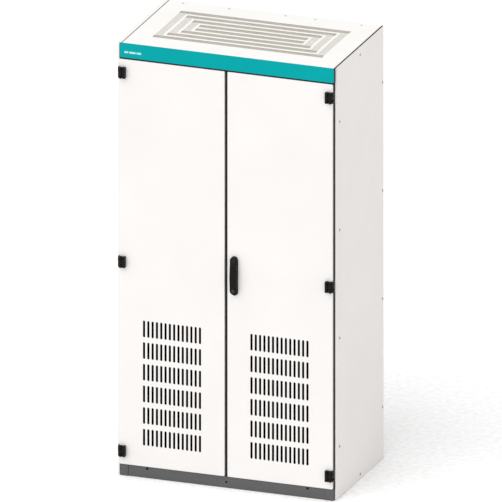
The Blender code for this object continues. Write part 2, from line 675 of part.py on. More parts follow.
def build_reactor():
    """A three-limb laminated core with a winding on each limb."""
    x, y, z = REACTOR_X, REACTOR_Y, REACTOR_Z
    limb = 0.060
    window = ((x[1] - x[0]) - 3 * limb) / 2
    yoke = 0.060
    core = place("reactor_core", box(x, y, z), "core")
    for index in range(2):
        start = x[0] + limb + index * (limb + window)
        cut(core, box((start, start + window), (y[0] - 0.01, y[1] + 0.01), (z[0] + yoke, z[1] - yoke)))
    gap = 0.002
    build_up = window / 2 - 0.004
    for index, name in enumerate(("left", "middle", "right")):
        start = x[0] + index * (limb + window)
        inner = rectangle((start - gap, start + limb + gap), (y[0] - gap, y[1] + gap))
        outer = rectangle((start - build_up, start + limb + build_up), (y[0] - build_up, y[1] + build_up))
        coil = ring(outer, inner, "Z", z[0] + yoke + 0.006, z[1] - yoke - 0.006)
        place("reactor_coil_" + name, coil, "varnish")


def build_switchgear():
    x, z = SWITCH_CENTRE
    block = box((x - 0.090, x + 0.090), (SWITCH_FACE + 0.030, PLATE_FACE), (z - 0.110, z + 0.110))
    body = place("main_switch", block, "device")
    add(body, box((x - 0.060, x + 0.060), (SWITCH_FACE, SWITCH_FACE + 0.032), (z - 0.060, z + 0.060)))
    knob = prism(circle((x, z), 0.032, 20), "Y", SWITCH_FACE - 0.012, SWITCH_FACE - GAP)
    knob = place("main_switch_handle", knob, "red", origin=(x, SWITCH_FACE, z), smooth=True)
    add(knob, box((x - 0.009, x + 0.009), (SWITCH_FACE - 0.036, SWITCH_FACE - 0.010), (z - 0.030, z + 0.030)))
    contactor = [(PLATE_FACE, 1.520), (PLATE_FACE, 1.680), (PLATE_FACE - 0.080, 1.680),
                 (PLATE_FACE - 0.080, 1.660), (PLATE_FACE - 0.130, 1.650), (PLATE_FACE - 0.130, 1.550),
                 (PLATE_FACE - 0.080, 1.540), (PLATE_FACE - 0.080, 1.520)]
    place("line_contactor", prism(contactor, "X", -0.170, -0.050), "device")
    control = [(PLATE_FACE, 1.080), (PLATE_FACE, 1.320), (PLATE_FACE - 0.050, 1.320),
               (PLATE_FACE - 0.050, 1.290), (PLATE_FACE - 0.090, 1.290), (PLATE_FACE - 0.090, 1.110),
               (PLATE_FACE - 0.050, 1.110), (PLATE_FACE - 0.050, 1.080)]
    place("control_unit", prism(control, "X", -0.400, -0.080), "terminal")
    build_terminals()


def build_terminals():
    """A rail with a row of terminal blocks, cut as one comb."""
    blocks = 20
    pitch = 0.016
    start = -0.400
    top = PLATE_FACE - 0.050
    outline = [(start - 0.008, PLATE_FACE), (start - 0.008, PLATE_FACE - 0.010)]
    for index in range(blocks):
        left = start + pitch * index
        outline += [(left, PLATE_FACE - 0.010), (left, top), (left + pitch * 0.85, top),
                    (left + pitch * 0.85, PLATE_FACE - 0.010)]
    end = start + pitch * blocks + 0.008
    outline += [(end, PLATE_FACE - 0.010), (end, PLATE_FACE)]
    place("terminal_strip", prism(outline, "Z", 0.800, 0.845), "terminal")


# ---------------------------------------------------------------- the whole cabinet
def main():
    clear_scene()
    build_posts()
    build_frame_rings()
    build_plinth()
    build_shell()
    build_roof()
    build_floor()
    build_doors()
    build_hinges()
    build_handle()
    build_lock()
    build_mounting_plate()
    build_drive()
    build_fan()
    build_reactor()
    build_switchgear()


main()
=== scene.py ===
import json
from math import cos, hypot, pi, radians, sin, sqrt

import bmesh
import bpy
from mathutils import Matrix, Vector


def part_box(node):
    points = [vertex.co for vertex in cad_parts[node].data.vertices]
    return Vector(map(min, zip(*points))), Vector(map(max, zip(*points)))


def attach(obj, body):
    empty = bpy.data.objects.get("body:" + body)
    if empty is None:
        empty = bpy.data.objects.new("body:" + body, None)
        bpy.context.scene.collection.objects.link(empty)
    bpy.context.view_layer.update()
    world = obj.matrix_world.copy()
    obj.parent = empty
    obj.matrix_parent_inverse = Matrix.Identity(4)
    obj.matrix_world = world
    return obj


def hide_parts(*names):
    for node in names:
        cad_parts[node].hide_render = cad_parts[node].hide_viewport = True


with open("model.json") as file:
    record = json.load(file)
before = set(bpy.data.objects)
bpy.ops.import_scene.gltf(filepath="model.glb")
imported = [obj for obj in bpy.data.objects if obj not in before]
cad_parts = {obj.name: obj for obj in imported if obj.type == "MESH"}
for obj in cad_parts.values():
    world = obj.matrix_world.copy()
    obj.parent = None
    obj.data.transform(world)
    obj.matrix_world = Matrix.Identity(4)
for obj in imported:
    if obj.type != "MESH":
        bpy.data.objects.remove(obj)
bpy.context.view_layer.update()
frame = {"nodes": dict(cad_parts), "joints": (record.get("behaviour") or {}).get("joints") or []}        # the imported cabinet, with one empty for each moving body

# ---------------------------------------------------------------- the view
VIEW_AZIMUTH = radians(20.33)
VIEW_ELEVATION = radians(19.4)
VIEW_TARGET = (0.0, 0.0227, 0.9919)
PICTURE_WIDTH = 2.188            # metres across the picture, in parallel projection
VIEW_DISTANCE = 12.0

# ---------------------------------------------------------------- places taken from the frame
door_low, door_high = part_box("right_door")
header_low, header_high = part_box("header_strip")
roof_low, roof_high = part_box("roof_panel")
panel_low, panel_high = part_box("side_panel_right")
rear_low, rear_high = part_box("rear_panel")
plinth_low, plinth_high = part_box("plinth_front")
base_low, base_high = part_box("handle_base")
hub_low, hub_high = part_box("handle_hub")
lever_low, lever_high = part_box("handle_lever")
key_low, key_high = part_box("lock_cylinder")
plate_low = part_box("mounting_plate")[0]

joints = {joint["name"]: joint for joint in frame["joints"]}
HUB_Z = joints["handle_swivel"]["pos_m"][2]
TILT_Y, TILT_Z = joints["handle_tilt"]["pos_m"][1:]
LEVER_END = 0.0085               # radius of the grip's end about its pin
OUTWARD = (0, -1, 0)             # the way the front faces

FACE = door_low.y                # outer face of the doors
SHEET = 0.0015                   # folded sheet steel
FOLD = 0.0025                    # outer radius of a fold
SCREW_PROUD = 0.0008             # how far low screw heads stand off a panel
SHARP = radians(38)              # edges that turn more than this stay crisp

SLOT_COLUMNS = 14
SLOT_ROWS = 6
SLOT_PITCH = (0.02, 0.1)         # across, up
SLOT_SIZE = (0.0106, 0.0775)
SLOT_FIELD_X = {-1: -0.251, 1: 0.2485}       # middle of the left and the right door's slots
SLOT_FIELD_BOTTOM = 0.13875

ROOF_FIELD_WIDTH = 0.79          # outside of the largest ring of ventilation slots
ROOF_FIELD_FRONT = FACE + 0.1145
ROOF_BAND = 0.0375               # width of one ring's slots
ROOF_GAP = 0.0103                # plain metal to the next ring
ROOF_ROWS = 8
ROOF_SLOT_PITCH = 0.0058
ROOF_SLOT_WIDTH = 0.0041

SIDE_SCREW_HEIGHTS = (0.237, 0.737, 1.237, 1.737)
ROOF_SCREW_X = (-0.413, -0.199, 0.063, 0.202, 0.416)
PLUG_X, PLUG_Z = (-0.3675, 0.378), 0.0438    # plugs in the plinth's bolt holes
# The header carrier and its rails are dark foam: painted shade round the fascia.
HEADER_TOP_RAIL = 1.981                      # foot of the carrier's upper rail
# Across the dark strip in the seam between the doors: painted shade in the seam, and also the left
# door's closing strip.
CENTRE_SEAL_SHADE_X = (-0.0062, 0.0036)
SIDE_GAP_X = (0.4962, 0.5)                   # the gap beside a door's hinged edge
FREE_EDGE = {-1: 0.0052, 1: 0.0042}          # how far a door's sheet stops short of its free edge
RAIL_X = {"outer": 0.44, "inner": 0.0815}    # stiffener rails, from the cabinet's middle
BADGE_BARS = (0.018, 0.03, 0.022)            # widths of the plain bars on the header
BADGE_Z = (1.9535, 1.962)
CABLE_RADIUS = 0.0062
HINGE_NAMES = ("bottom", "middle", "top")
COIL_NAMES = ("left", "middle", "right")

# Slot names for looks not called the same as their slot; finish reads them but does not use them.
SLOTS = {
    "roof_paint": "paint", "badge": "light_plastic", "hub_ring": "handle", "lock_face": "lock_steel",
    "zinc": "lock_steel", "screw": "lock_steel", "edge_seal": "gasket", "outlet_mat": "filter",
    "duct": "light_plastic", "connector": "device", "lamp": "light_plastic", "screen": "device",
    "fibre": "winding", "cable": "gasket",
}

# ---------------------------------------------------------------- materials
class Look:
    """A Principled material whose detail comes from noise in the piece's own coordinates."""

    def __init__(self, name, colour, roughness, metallic=0.0, **fixed):
        self.material = bpy.data.materials.new(name)
        self.material.use_nodes = True
        self.tree = self.material.node_tree
        self.shader = self.tree.nodes["Principled BSDF"]
        self.shader.inputs["Base Color"].default_value = (*colour, 1.0)
        self.shader.inputs["Roughness"].default_value = roughness
        self.shader.inputs["Metallic"].default_value = metallic
        for socket, value in fixed.items():
            self.shader.inputs[socket.replace("_", " ")].default_value = value
        self.colour = colour

    def node(self, kind, output, inputs, **values):
        """Adds a node, sets or links its inputs, and returns one of its outputs."""
        made = self.tree.nodes.new(kind)
        for name, value in values.items():
            setattr(made, name, value)
        for name, value in inputs.items():
            if isinstance(value, bpy.types.NodeSocket):
                self.tree.links.new(value, made.inputs[name])
            else:
                made.inputs[name].default_value = value
        return made.outputs[output]

    def drive(self, socket, source):
        self.tree.links.new(source, self.shader.inputs[socket])
        return self

    def coordinates(self, stretch=(1.0, 1.0, 1.0)):
        own = self.node("ShaderNodeTexCoord", "Object", {})
        return self.node("ShaderNodeMapping", "Vector", {"Scale": stretch, "Vector": own})

    def noise(self, scale, detail=3.0, stretch=(1.0, 1.0, 1.0)):
        return self.node("ShaderNodeTexNoise", "Fac",
                         {"Scale": scale, "Detail": detail, "Vector": self.coordinates(stretch)})

    def cells(self, scale, output="Distance"):
        return self.node("ShaderNodeTexVoronoi", output, {"Scale": scale, "Vector": self.coordinates()})

    def stripes(self, scale, direction, distortion):
        inputs = {"Scale": scale, "Distortion": distortion, "Vector": self.coordinates()}
        return self.node("ShaderNodeTexWave", "Fac", inputs, bands_direction=direction)

    def spread(self, source, low, high, start=0.3, end=0.7):
        """Maps a pattern's middle range onto low to high."""
        inputs = {"From Min": start, "From Max": end, "To Min": low, "To Max": high, "Value": source}
        return self.node("ShaderNodeMapRange", "Result", inputs)

    def tint(self, source, darker, lighter, start=0.3, end=0.7):
        """Varies the base colour between two multiples of it."""
        dark, light = [(*[min(1.0, value * share) for value in self.colour], 1.0)
                       for share in (darker, lighter)]
        inputs = {"A": dark, "B": light, "Factor": self.spread(source, 0.0, 1.0, start, end)}
        return self.drive("Base Color", self.node("ShaderNodeMix", "Result", inputs, data_type="RGBA"))

    def polish(self, source, low, high):
        return self.drive("Roughness", self.spread(source, low, high))

    def relief(self, source, depth, strength):
        inputs = {"Distance": depth, "Strength": strength, "Height": source}
        return self.drive("Normal", self.node("ShaderNodeBump", "Normal", inputs))


def powder_coat(name, colour, roughness, peel=0.00005, variation=0.02, gloss=0.45):
    """Powder coat: a fine orange peel, and a slight drift of tone and gloss over the panel."""
    look = Look(name, colour, roughness, Specular_IOR_Level=gloss)
    look.tint(look.noise(3.0), 1.0 - variation, 1.0 + variation)
    look.polish(look.noise(14.0), roughness - 0.05, roughness + 0.05)
    look.relief(look.noise(700.0, 2.0), peel, 0.6)
    return look.material


def galvanised(name):
    look = Look(name, (0.56, 0.57, 0.58), 0.42, 0.85)
    look.tint(look.cells(55.0, output="Color"), 0.88, 1.08)
    look.polish(look.cells(55.0), 0.34, 0.52)
    look.relief(look.noise(260.0), 0.00003, 0.5)
    return look.material


def moulded(name, colour, roughness, grain=0.00006, scale=1400.0, gloss=0.45):
    """Moulded plastic with a fine eroded grain."""
    look = Look(name, colour, roughness, Specular_IOR_Level=gloss)
    look.tint(look.noise(40.0), 0.92, 1.08)
    look.polish(look.noise(25.0), roughness - 0.06, roughness + 0.06)
    look.relief(look.noise(scale, 2.0), grain, 0.7)
    return look.material


def brushed(name, colour, roughness, stretch=(1.0, 1.0, 30.0)):
    """Drawn or brushed metal: grain lines across the stretched direction."""
    look = Look(name, colour, roughness, 1.0)
    grain = look.noise(300.0, 4.0, stretch)
    look.tint(look.noise(30.0), 0.93, 1.05)
    look.polish(grain, roughness - 0.08, roughness + 0.12)
    look.relief(grain, 0.00002, 0.5)
    return look.material


def laminated(name):
    look = Look(name, (0.12, 0.125, 0.135), 0.55, 0.6)
    sheets = look.stripes(160.0, "Y", 0.4)
    look.tint(sheets, 0.7, 1.3, 0.0, 1.0)
    look.relief(sheets, 0.0002, 0.6)
    return look.material


def wound(name):
    look = Look(name, (0.42, 0.17, 0.06), 0.38, 0.0, Coat_Weight=0.5, Coat_Roughness=0.25)
    turns = look.stripes(45.0, "Z", 0.3)
    look.tint(look.noise(35.0), 0.8, 1.2)
    look.relief(turns, 0.0015, 0.8)
    return look.material


def fleece(name):
    # The mat is a real part, but its near-black colour is painted shade: the dark seen through the door
    # slots.
    look = Look(name, (0.0012, 0.0012, 0.0014), 0.95, 0.0, Specular_IOR_Level=0.02)
    fibres = look.noise(500.0, 6.0, (1.0, 0.3, 1.6))
    look.tint(fibres, 0.5, 1.6)
    look.relief(fibres, 0.0012, 0.8)
    return look.material


def foam(name):
    look = Look(name, (0.016, 0.016, 0.017), 0.85, 0.0, Specular_IOR_Level=0.2)
    look.tint(look.cells(900.0), 0.6, 1.3)
    look.relief(look.cells(900.0), 0.0002, 0.7)
    return look.material


LOOKS = {
    "paint": powder_coat("light_grey_coat", (0.736, 0.712, 0.697), 0.48),
    # A lighter copy of the grey coat for the roof and the rim beside it: painted light on the top.
    "roof_paint": powder_coat("roof_coat", (0.8, 0.785, 0.765), 0.5),
    "header": powder_coat("teal_coat", (0.0005, 0.305, 0.318), 0.42, 0.00004, 0.05, 0.04),
    "plinth": powder_coat("dark_grey_coat", (0.076, 0.077, 0.079), 0.52, 0.0001, 0.06),
    "badge": moulded("badge_white", (0.42, 0.66, 0.66), 0.4),
    "galvanised": galvanised("galvanised_sheet"),
    "hinge": powder_coat("hinge_black", (0.006, 0.006, 0.006), 0.42, 0.00008, 0.15, 0.12),
    "handle": moulded("handle_nylon", (0.0045, 0.0045, 0.0045), 0.46, gloss=0.12),
    "hub_ring": moulded("hub_ring_nylon", (0.01, 0.01, 0.01), 0.4, gloss=0.15),
    "lock_face": moulded("lock_face_black", (0.02, 0.02, 0.02), 0.28),
    "zinc": brushed("zinc_steel", (0.5, 0.5, 0.51), 0.32),
    # Dark foam: the door gaskets' own colour, and also the strips that paint shade in the gaps round the
    # doors, the header and the roof, and in the key slot.
    "gasket": foam("foamed_seal"),
    # Grey for the strip along the roof's left edge: painted shadow.
    "edge_seal": moulded("grey_edge_seal", (0.2, 0.2, 0.19), 0.7, gloss=0.2),
    # Near-black filter fleece: painted shade behind the door slots.
    "filter": fleece("filter_fleece"),
    "outlet_mat": moulded("outlet_fleece", (0.36, 0.31, 0.17), 0.92, 0.0003, 900.0, 0.1),
    "screw": brushed("dark_zinc_steel", (0.2, 0.2, 0.2), 0.45),
    "copper": brushed("bare_copper", (0.72, 0.36, 0.2), 0.3, (30.0, 1.0, 1.0)),
    "drive_cover": powder_coat("dark_cover_coat", (0.06, 0.063, 0.068), 0.45, 0.00008, 0.08),
    "heat_sink": brushed("extruded_aluminium", (0.66, 0.67, 0.68), 0.36, (30.0, 30.0, 1.0)),
    "fan": moulded("fan_plastic", (0.018, 0.018, 0.019), 0.5),
    "capacitor": moulded("capacitor_sleeve", (0.02, 0.035, 0.075), 0.35),
    "core": laminated("core_laminations"),
    "winding": wound("varnished_winding"),
    "device": moulded("device_plastic", (0.13, 0.135, 0.14), 0.48),
    "red": moulded("switch_red_plastic", (0.55, 0.015, 0.012), 0.34),
    "light_plastic": moulded("light_plastic", (0.46, 0.47, 0.46), 0.5),
    "duct": moulded("grey_duct", (0.4, 0.41, 0.42), 0.55),
    "connector": moulded("green_connector", (0.035, 0.16, 0.075), 0.42),
    "lamp": moulded("lamp_amber", (0.7, 0.32, 0.03), 0.25),
    "screen": moulded("dark_screen", (0.008, 0.01, 0.012), 0.14),
    "fibre": moulded("fibre_collar", (0.42, 0.33, 0.17), 0.6),
    "cable": moulded("cable_sheath", (0.012, 0.012, 0.013), 0.5),
    "floor": moulded("studio_floor", (0.96, 0.96, 0.96), 0.9, 0.00002, 60.0),
}


# ---------------------------------------------------------------- mesh tools
def placed(name, data):
    """Puts new data into the scene as an object."""
    made = bpy.data.objects.new(name, data)
    bpy.context.scene.collection.objects.link(made)
    return made


def mesh_of(name, bm):
    """Turns a bmesh into a mesh, and frees it."""
    mesh = bpy.data.meshes.new(name)
    bm.to_mesh(mesh)
    bm.free()
    return mesh


def crisp(mesh):
    """Shades a mesh smooth, with its sharp edges marked."""
    mesh.shade_smooth()
    mesh.set_sharp_from_angle(angle=SHARP)


def round_edges(piece, width):
    rounding = piece.modifiers.new("rounding", "BEVEL")
    rounding.width = width
    rounding.segments = 2
    rounding.limit_method = "ANGLE"
    rounding.angle_limit = SHARP


def cutter(bm):
    """A hidden tool for a Boolean cut."""
    bmesh.ops.recalc_face_normals(bm, faces=bm.faces)
    return placed("cutter", mesh_of("cutter", bm))


def around(centre, half):
    """The two ends of a span that is centred on a value."""
    return (centre - half, centre + half)


def finish(name, bm, look, replaced=(), thickness=0.0, bevel=0.0, cuts=(), body="cabinet", slot=None):
    """Makes a bmesh into a piece that rides on a body and takes its look's material."""
    tools = [cutter(cut) for cut in cuts]
    bmesh.ops.remove_doubles(bm, verts=bm.verts, dist=0.000001)
    bmesh.ops.recalc_face_normals(bm, faces=bm.faces)
    mesh = mesh_of(name, bm)
    crisp(mesh)
    mesh.materials.append(LOOKS[look])
    piece = placed(name, mesh)
    if thickness:
        solidify = piece.modifiers.new("sheet", "SOLIDIFY")
        solidify.thickness = thickness
        solidify.offset = -1.0
        solidify.use_even_offset = True
    for tool in tools:
        boolean = piece.modifiers.new("cut", "BOOLEAN")
        boolean.object = tool
        boolean.operation = "DIFFERENCE"
    if bevel:
        round_edges(piece, bevel)
    if piece.modifiers:
        settle(piece)
    for tool in tools:
        bpy.data.objects.remove(tool)
    weighted = piece.modifiers.new("shading", "WEIGHTED_NORMAL")
    weighted.keep_sharp = True
    slot = slot or SLOTS.get(look, look)
    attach(piece, body)
    if replaced:
        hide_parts(*replaced)


def settle(piece):
    """Applies a piece's modifiers, and marks its sharp edges again."""
    view = bpy.context.evaluated_depsgraph_get()
    mesh = bpy.data.meshes.new_from_object(piece.evaluated_get(view))
    piece.modifiers.clear()
    piece.data = mesh
    crisp(mesh)


def facing(side, face):
    """A function from (across, up, depth) to a point behind the panel face on one side."""
    return {"front": lambda a, b, d: (a, face + d, b), "rear": lambda a, b, d: (a, face - d, b),
            "right": lambda a, b, d: (face - d, a, b), "left": lambda a, b, d: (face + d, a, b),
            "top": lambda a, b, d: (a, b, face - d)}[side]


def rounded_rectangle(a, b, inset, radius, steps=3):
    """Points round a rectangle with rounded corners, from the low corner."""
    radius = max(radius - inset, 0.0006)
    centres = [(a[0] + inset + radius, b[0] + inset + radius, pi),
               (a[1] - inset - radius, b[0] + inset + radius, 1.5 * pi),
               (a[1] - inset - radius, b[1] - inset - radius, 0.0),
               (a[0] + inset + radius, b[1] - inset - radius, 0.5 * pi)]
    points = []
    for centre_a, centre_b, start in centres:
        for step in range(steps + 1):
            angle = start + 0.5 * pi * step / steps
            points.append((centre_a + radius * cos(angle), centre_b + radius * sin(angle)))
    return points


def sew(bm, loops, closed=False, capped=False):
    """Joins loops of equal length with quads, and closes the row or caps its ends."""
    for near, far in list(zip(loops, loops[1:])) + ([(loops[-1], loops[0])] if closed else []):
        for index in range(len(near)):
            following = (index + 1) % len(near)
            bm.faces.new((near[index], near[following], far[following], far[index]))
    if capped:
        bm.faces.new(list(reversed(loops[0])))
        bm.faces.new(loops[-1])


def new_loop(bm, put, points, depth):
    return [bm.verts.new(put(a, b, depth)) for a, b in points]


def pan(put, a, b, depth, corner=0.004, fold=FOLD, lip=0.0, fields=None):
    """A folded pan: a face, rounded folds, flanges, and a lip. The fields pierce its face."""
    bm = bmesh.new()
    loops = []
    for step in range(4):
        angle = 0.5 * pi * step / 3
        inset = fold * (1.0 - sin(angle))
        outline = rounded_rectangle(a, b, inset, corner)
        loops.append(new_loop(bm, put, outline, fold * (1.0 - cos(angle))))
    loops.append(new_loop(bm, put, rounded_rectangle(a, b, 0.0, corner), depth))
    if lip:
        loops.append(new_loop(bm, put, rounded_rectangle(a, b, lip, corner), depth))
    sew(bm, loops)
    if fields is None:
        bm.faces.new(loops[0])
        return bm
    edges = loop_edges(bm, loops[0])
    for field in fields:
        edges += pierce(bm, put, *field)
    bmesh.ops.triangle_fill(bm, use_beauty=True, edges=edges)
    return bm


def loop_edges(bm, loop):
    edges = []
    for near, far in zip(loop, loop[1:] + loop[:1]):
        edges.append(bm.edges.get((near, far)) or bm.edges.new((near, far)))
    return edges


def pierce(bm, put, low, cell, counts, hole, arc=2):
    """Makes a grid of cells, each with a slot in its middle, and returns the grid's outline."""
    points = {}

    def corner(i, j):
        if (i, j) not in points:
            points[i, j] = bm.verts.new(put(low[0] + cell[0] * i, low[1] + cell[1] * j, 0.0))
        return points[i, j]

    for i in range(counts[0]):
        for j in range(counts[1]):
            centre = (low[0] + cell[0] * (i + 0.5), low[1] + cell[1] * (j + 0.5))
            square = [corner(i, j), corner(i + 1, j), corner(i + 1, j + 1), corner(i, j + 1)]
            slotted_cell(bm, put, centre, hole, square, arc)
    columns, rows = counts
    rim = [corner(i, 0) for i in range(columns)] + [corner(columns, j) for j in range(rows)]
    rim += [corner(i, rows) for i in range(columns, 0, -1)] + [corner(0, j) for j in range(rows, 0, -1)]
    return loop_edges(bm, rim)


def slotted_cell(bm, put, centre, hole, square, arc):
    """Four faces round one slot: its two long sides, and a triangle at each end."""
    upright = hole[1] >= hole[0]
    radius, reach = min(hole) / 2, abs(hole[1] - hole[0]) / 2
    outline = []
    for end, start in ((reach, 0.0), (-reach, pi)):
        for step in range(arc + 1):
            angle = start + pi * step / arc
            across, along = radius * cos(angle), end + radius * sin(angle)
            spot = (across, along) if upright else (along, -across)
            outline.append(bm.verts.new(put(centre[0] + spot[0], centre[1] + spot[1], 0.0)))
    low_left, low_right, high_right, high_left = square
    if not upright:
        low_left, low_right, high_right, high_left = high_left, low_left, low_right, high_right
    half, count = arc // 2, len(outline)
    top, bottom = half, arc + 1 + half
    right = [outline[index % count] for index in range(bottom, bottom + top + count - bottom + 1)]
    left = outline[top:bottom + 1]
    bm.faces.new([low_right, high_right] + list(reversed(right)))
    bm.faces.new([high_left, low_left] + list(reversed(left)))
    bm.faces.new([high_left, outline[top], high_right])
    bm.faces.new([low_left, low_right, outline[bottom]])


def basis(direction):
    """A rotation that turns +Z to a direction."""
    return Vector(direction).to_track_quat("Z", "Y").to_matrix().to_4x4()


def circle(bm, place, radius, level, sides, twist=0.0, lobed=False):
    """Adds a ring of vertices, or the six-lobed outline of a screw's socket."""
    ring = []
    for index in range(sides):
        angle = twist + 2 * pi * index / sides
        reach = radius * (0.36 + 0.06 * cos(6 * angle)) if lobed else radius
        point = Vector((reach * cos(angle), reach * sin(angle), level))
        ring.append(bm.verts.new(place @ point))
    return ring


def turned(bm, profile, origin, direction, sides=24, twist=0.0):
    """Adds a turned solid: profile is (radius, height) from its foot to its tip."""
    place = Matrix.Translation(origin) @ basis(direction)
    sew(bm, [circle(bm, place, *spot, sides, twist) for spot in profile], capped=True)
    return bm


def screw_head(bm, origin, direction, radius=0.005, height=SCREW_PROUD):
    """A low round head with a six-sided socket."""
    place = Matrix.Translation(origin) @ basis(direction)
    foot, sides = -0.0012, 18
    outline = [(radius, foot), (radius, height * 0.35), (radius * 0.9, height * 0.85),
               (radius * 0.78, height), (radius * 0.5, height)]
    loops = [circle(bm, place, *spot, sides) for spot in outline]
    loops += [circle(bm, place, radius, level, sides, lobed=True) for level in (height, foot * 0.5)]
    sew(bm, loops, capped=True)


def screw_set(name, spots, direction, radius=0.005, height=SCREW_PROUD, look="zinc", body="cabinet"):
    """One piece of low-headed screws that all face one way."""
    bm = bmesh.new()
    for spot in spots:
        screw_head(bm, spot, direction, radius, height)
    finish(name, bm, look, body=body)


def block(bm, x, y, z):
    """Adds a box, which a bevel then rounds."""
    corners = [bm.verts.new((x[i], y[j], z[k])) for i in (0, 1) for j in (0, 1) for k in (0, 1)]
    for indices in ((0, 1, 3, 2), (4, 6, 7, 5), (0, 4, 5, 1), (2, 3, 7, 6), (0, 2, 6, 4), (1, 5, 7, 3)):
        bm.faces.new([corners[index] for index in indices])
    return bm


def extruded(bm, outline, axis, start, end):
    """Adds a prism from an outline in the plane across an axis."""
    order = {"X": lambda w, a, b: (w, a, b), "Y": lambda w, a, b: (a, w, b),
             "Z": lambda w, a, b: (a, b, w)}[axis]
    ends = [[bm.verts.new(order(along, a, b)) for a, b in outline] for along in (start, end)]
    sew(bm, ends, capped=True)
    return bm


def block_piece(name, look, x, y, z, bevel, **options):
    """A piece that is one box with rounded edges."""
    finish(name, block(bmesh.new(), x, y, z), look, bevel=bevel, **options)


def stepped(back, step, front, low, high, neck):
    """The side outline of a device whose middle stands forward of its terminal ledges."""
    return [(back, low), (back, high), (step, high), (step, high - neck), (front, high - 0.03),
            (front, low + 0.03), (step, low + neck), (step, low)]


# ---------------------------------------------------------------- shell
def build_side_panel(side):
    name = "side_panel_" + side
    sign = 1 if side == "right" else -1
    low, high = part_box(name)
    outer, inner = max(abs(low.x), abs(high.x)), min(abs(low.x), abs(high.x))
    face = sign * (outer - SCREW_PROUD)
    bm = pan(facing(side, face), (low.y, high.y), (low.z - 0.0022, high.z), abs(face) - inner)
    finish(name + "_sheet", bm, "paint", [name], SHEET)
    spots = []
    for z in SIDE_SCREW_HEIGHTS:
        spots += [(face, low.y + 0.039, z), (face, high.y - 0.014, z + 0.0045)]
    spots += [(face, (low.y + high.y) / 2, z) for z in (0.024, high.z - 0.037)]
    screw_set(name + "_screws", spots, (sign, 0, 0), 0.0062, look="screw")


def build_rear_panel():
    face = rear_high.y - SCREW_PROUD
    x, z = (rear_low.x, rear_high.x), (rear_low.z, rear_high.z)
    finish("rear_panel_sheet", pan(facing("rear", face), x, z, face - rear_low.y), "paint",
           ["rear_panel"], SHEET)
    edges, ends = (x[0] + 0.018, x[1] - 0.018), (z[0] + 0.018, z[1] - 0.018)
    spots = [(edge, face, height) for height in (0.12, 0.55, 1.0, 1.45, 1.9) for edge in edges]
    spots += [(across, face, height) for across in (-0.25, 0.0, 0.25) for height in ends]
    screw_set("rear_panel_screws", spots, (0, 1, 0))


def roof_fields():
    """Nested rings of slots: rows with slots from front to back, and sides with slots across."""
    pitch = ROOF_BAND + ROOF_GAP
    slot = ROOF_BAND - 0.002
    middle = (roof_low.x + roof_high.x) / 2
    fields = []
    for row in range(ROOF_ROWS):
        ring = min(row, ROOF_ROWS - 1 - row)
        width = ROOF_FIELD_WIDTH - 2 * pitch * ring
        count = round(width / ROOF_SLOT_PITCH)
        low = (middle - width / 2, ROOF_FIELD_FRONT + pitch * row)
        fields.append((low, (width / count, ROOF_BAND), (count, 1), (ROOF_SLOT_WIDTH, slot)))
    for ring in range(ROOF_ROWS // 2 - 1):
        start = ROOF_FIELD_FRONT + pitch * ring + ROOF_BAND + 0.0008
        length = pitch * (ROOF_ROWS - 2 - 2 * ring) + ROOF_GAP - 0.0016
        count = round(length / ROOF_SLOT_PITCH)
        edge = ROOF_FIELD_WIDTH / 2 - pitch * ring
        for x in (middle - edge, middle + edge - ROOF_BAND):
            fields.append(((x, start), (ROOF_BAND, length / count), (1, count), (slot, ROOF_SLOT_WIDTH)))
    return fields


def build_roof():
    """The slotted roof sheet and the rim at its left, in a lighter copy of the grey coat that paints
    light on the top; the pale mat under its slots; and dark strips along its side edges that paint the
    shadow lines there.
    """
    face = roof_high.z - SCREW_PROUD
    x, y = (roof_low.x, roof_high.x), (roof_low.y, roof_high.y)
    bm = pan(facing("top", face), x, y, face - roof_low.z, fold=0.002, fields=roof_fields())
    finish("roof_sheet", bm, "roof_paint", ["roof_panel"], SHEET)
    spots = [(across, y[1] - 0.03, face) for across in ROOF_SCREW_X]
    screw_set("roof_screws", spots, (0, 0, 1), 0.0055)
    field = (ROOF_FIELD_FRONT - 0.006, ROOF_FIELD_FRONT + ROOF_ROWS * (ROOF_BAND + ROOF_GAP))
    along = (y[0] + 0.001, y[1] - 0.001)
    block_piece("roof_outlet_mat", "outlet_mat", around((x[0] + x[1]) / 2, ROOF_FIELD_WIDTH / 2 + 0.006),
                field, (face - 0.0065, face - 0.0035), 0.0008)
    # Black foam strip along the roof's right edge: painted shadow for the dark line under the roof's
    # edge.
    block_piece("roof_right_seal", "gasket", (x[1] + 0.0003, x[1] + 0.0064), along,
                (panel_high.z + 0.0002, face - 0.0001), 0.0003)
    # A grey strip along the left edge: painted shadow, lighter than the right one.
    block_piece("roof_left_seal", "edge_seal", (x[0] - 0.0045, x[0] - 0.0003), along,
                (roof_low.z + 0.001, face - 0.0008), 0.0006)
    # The rim takes the lighter roof coat: painted light on the side panel's top edge.
    block_piece("roof_rim", "roof_paint", (-panel_low.x + 0.0003, x[0] - 0.0047), along,
                (roof_low.z + 0.001, face), 0.0006)


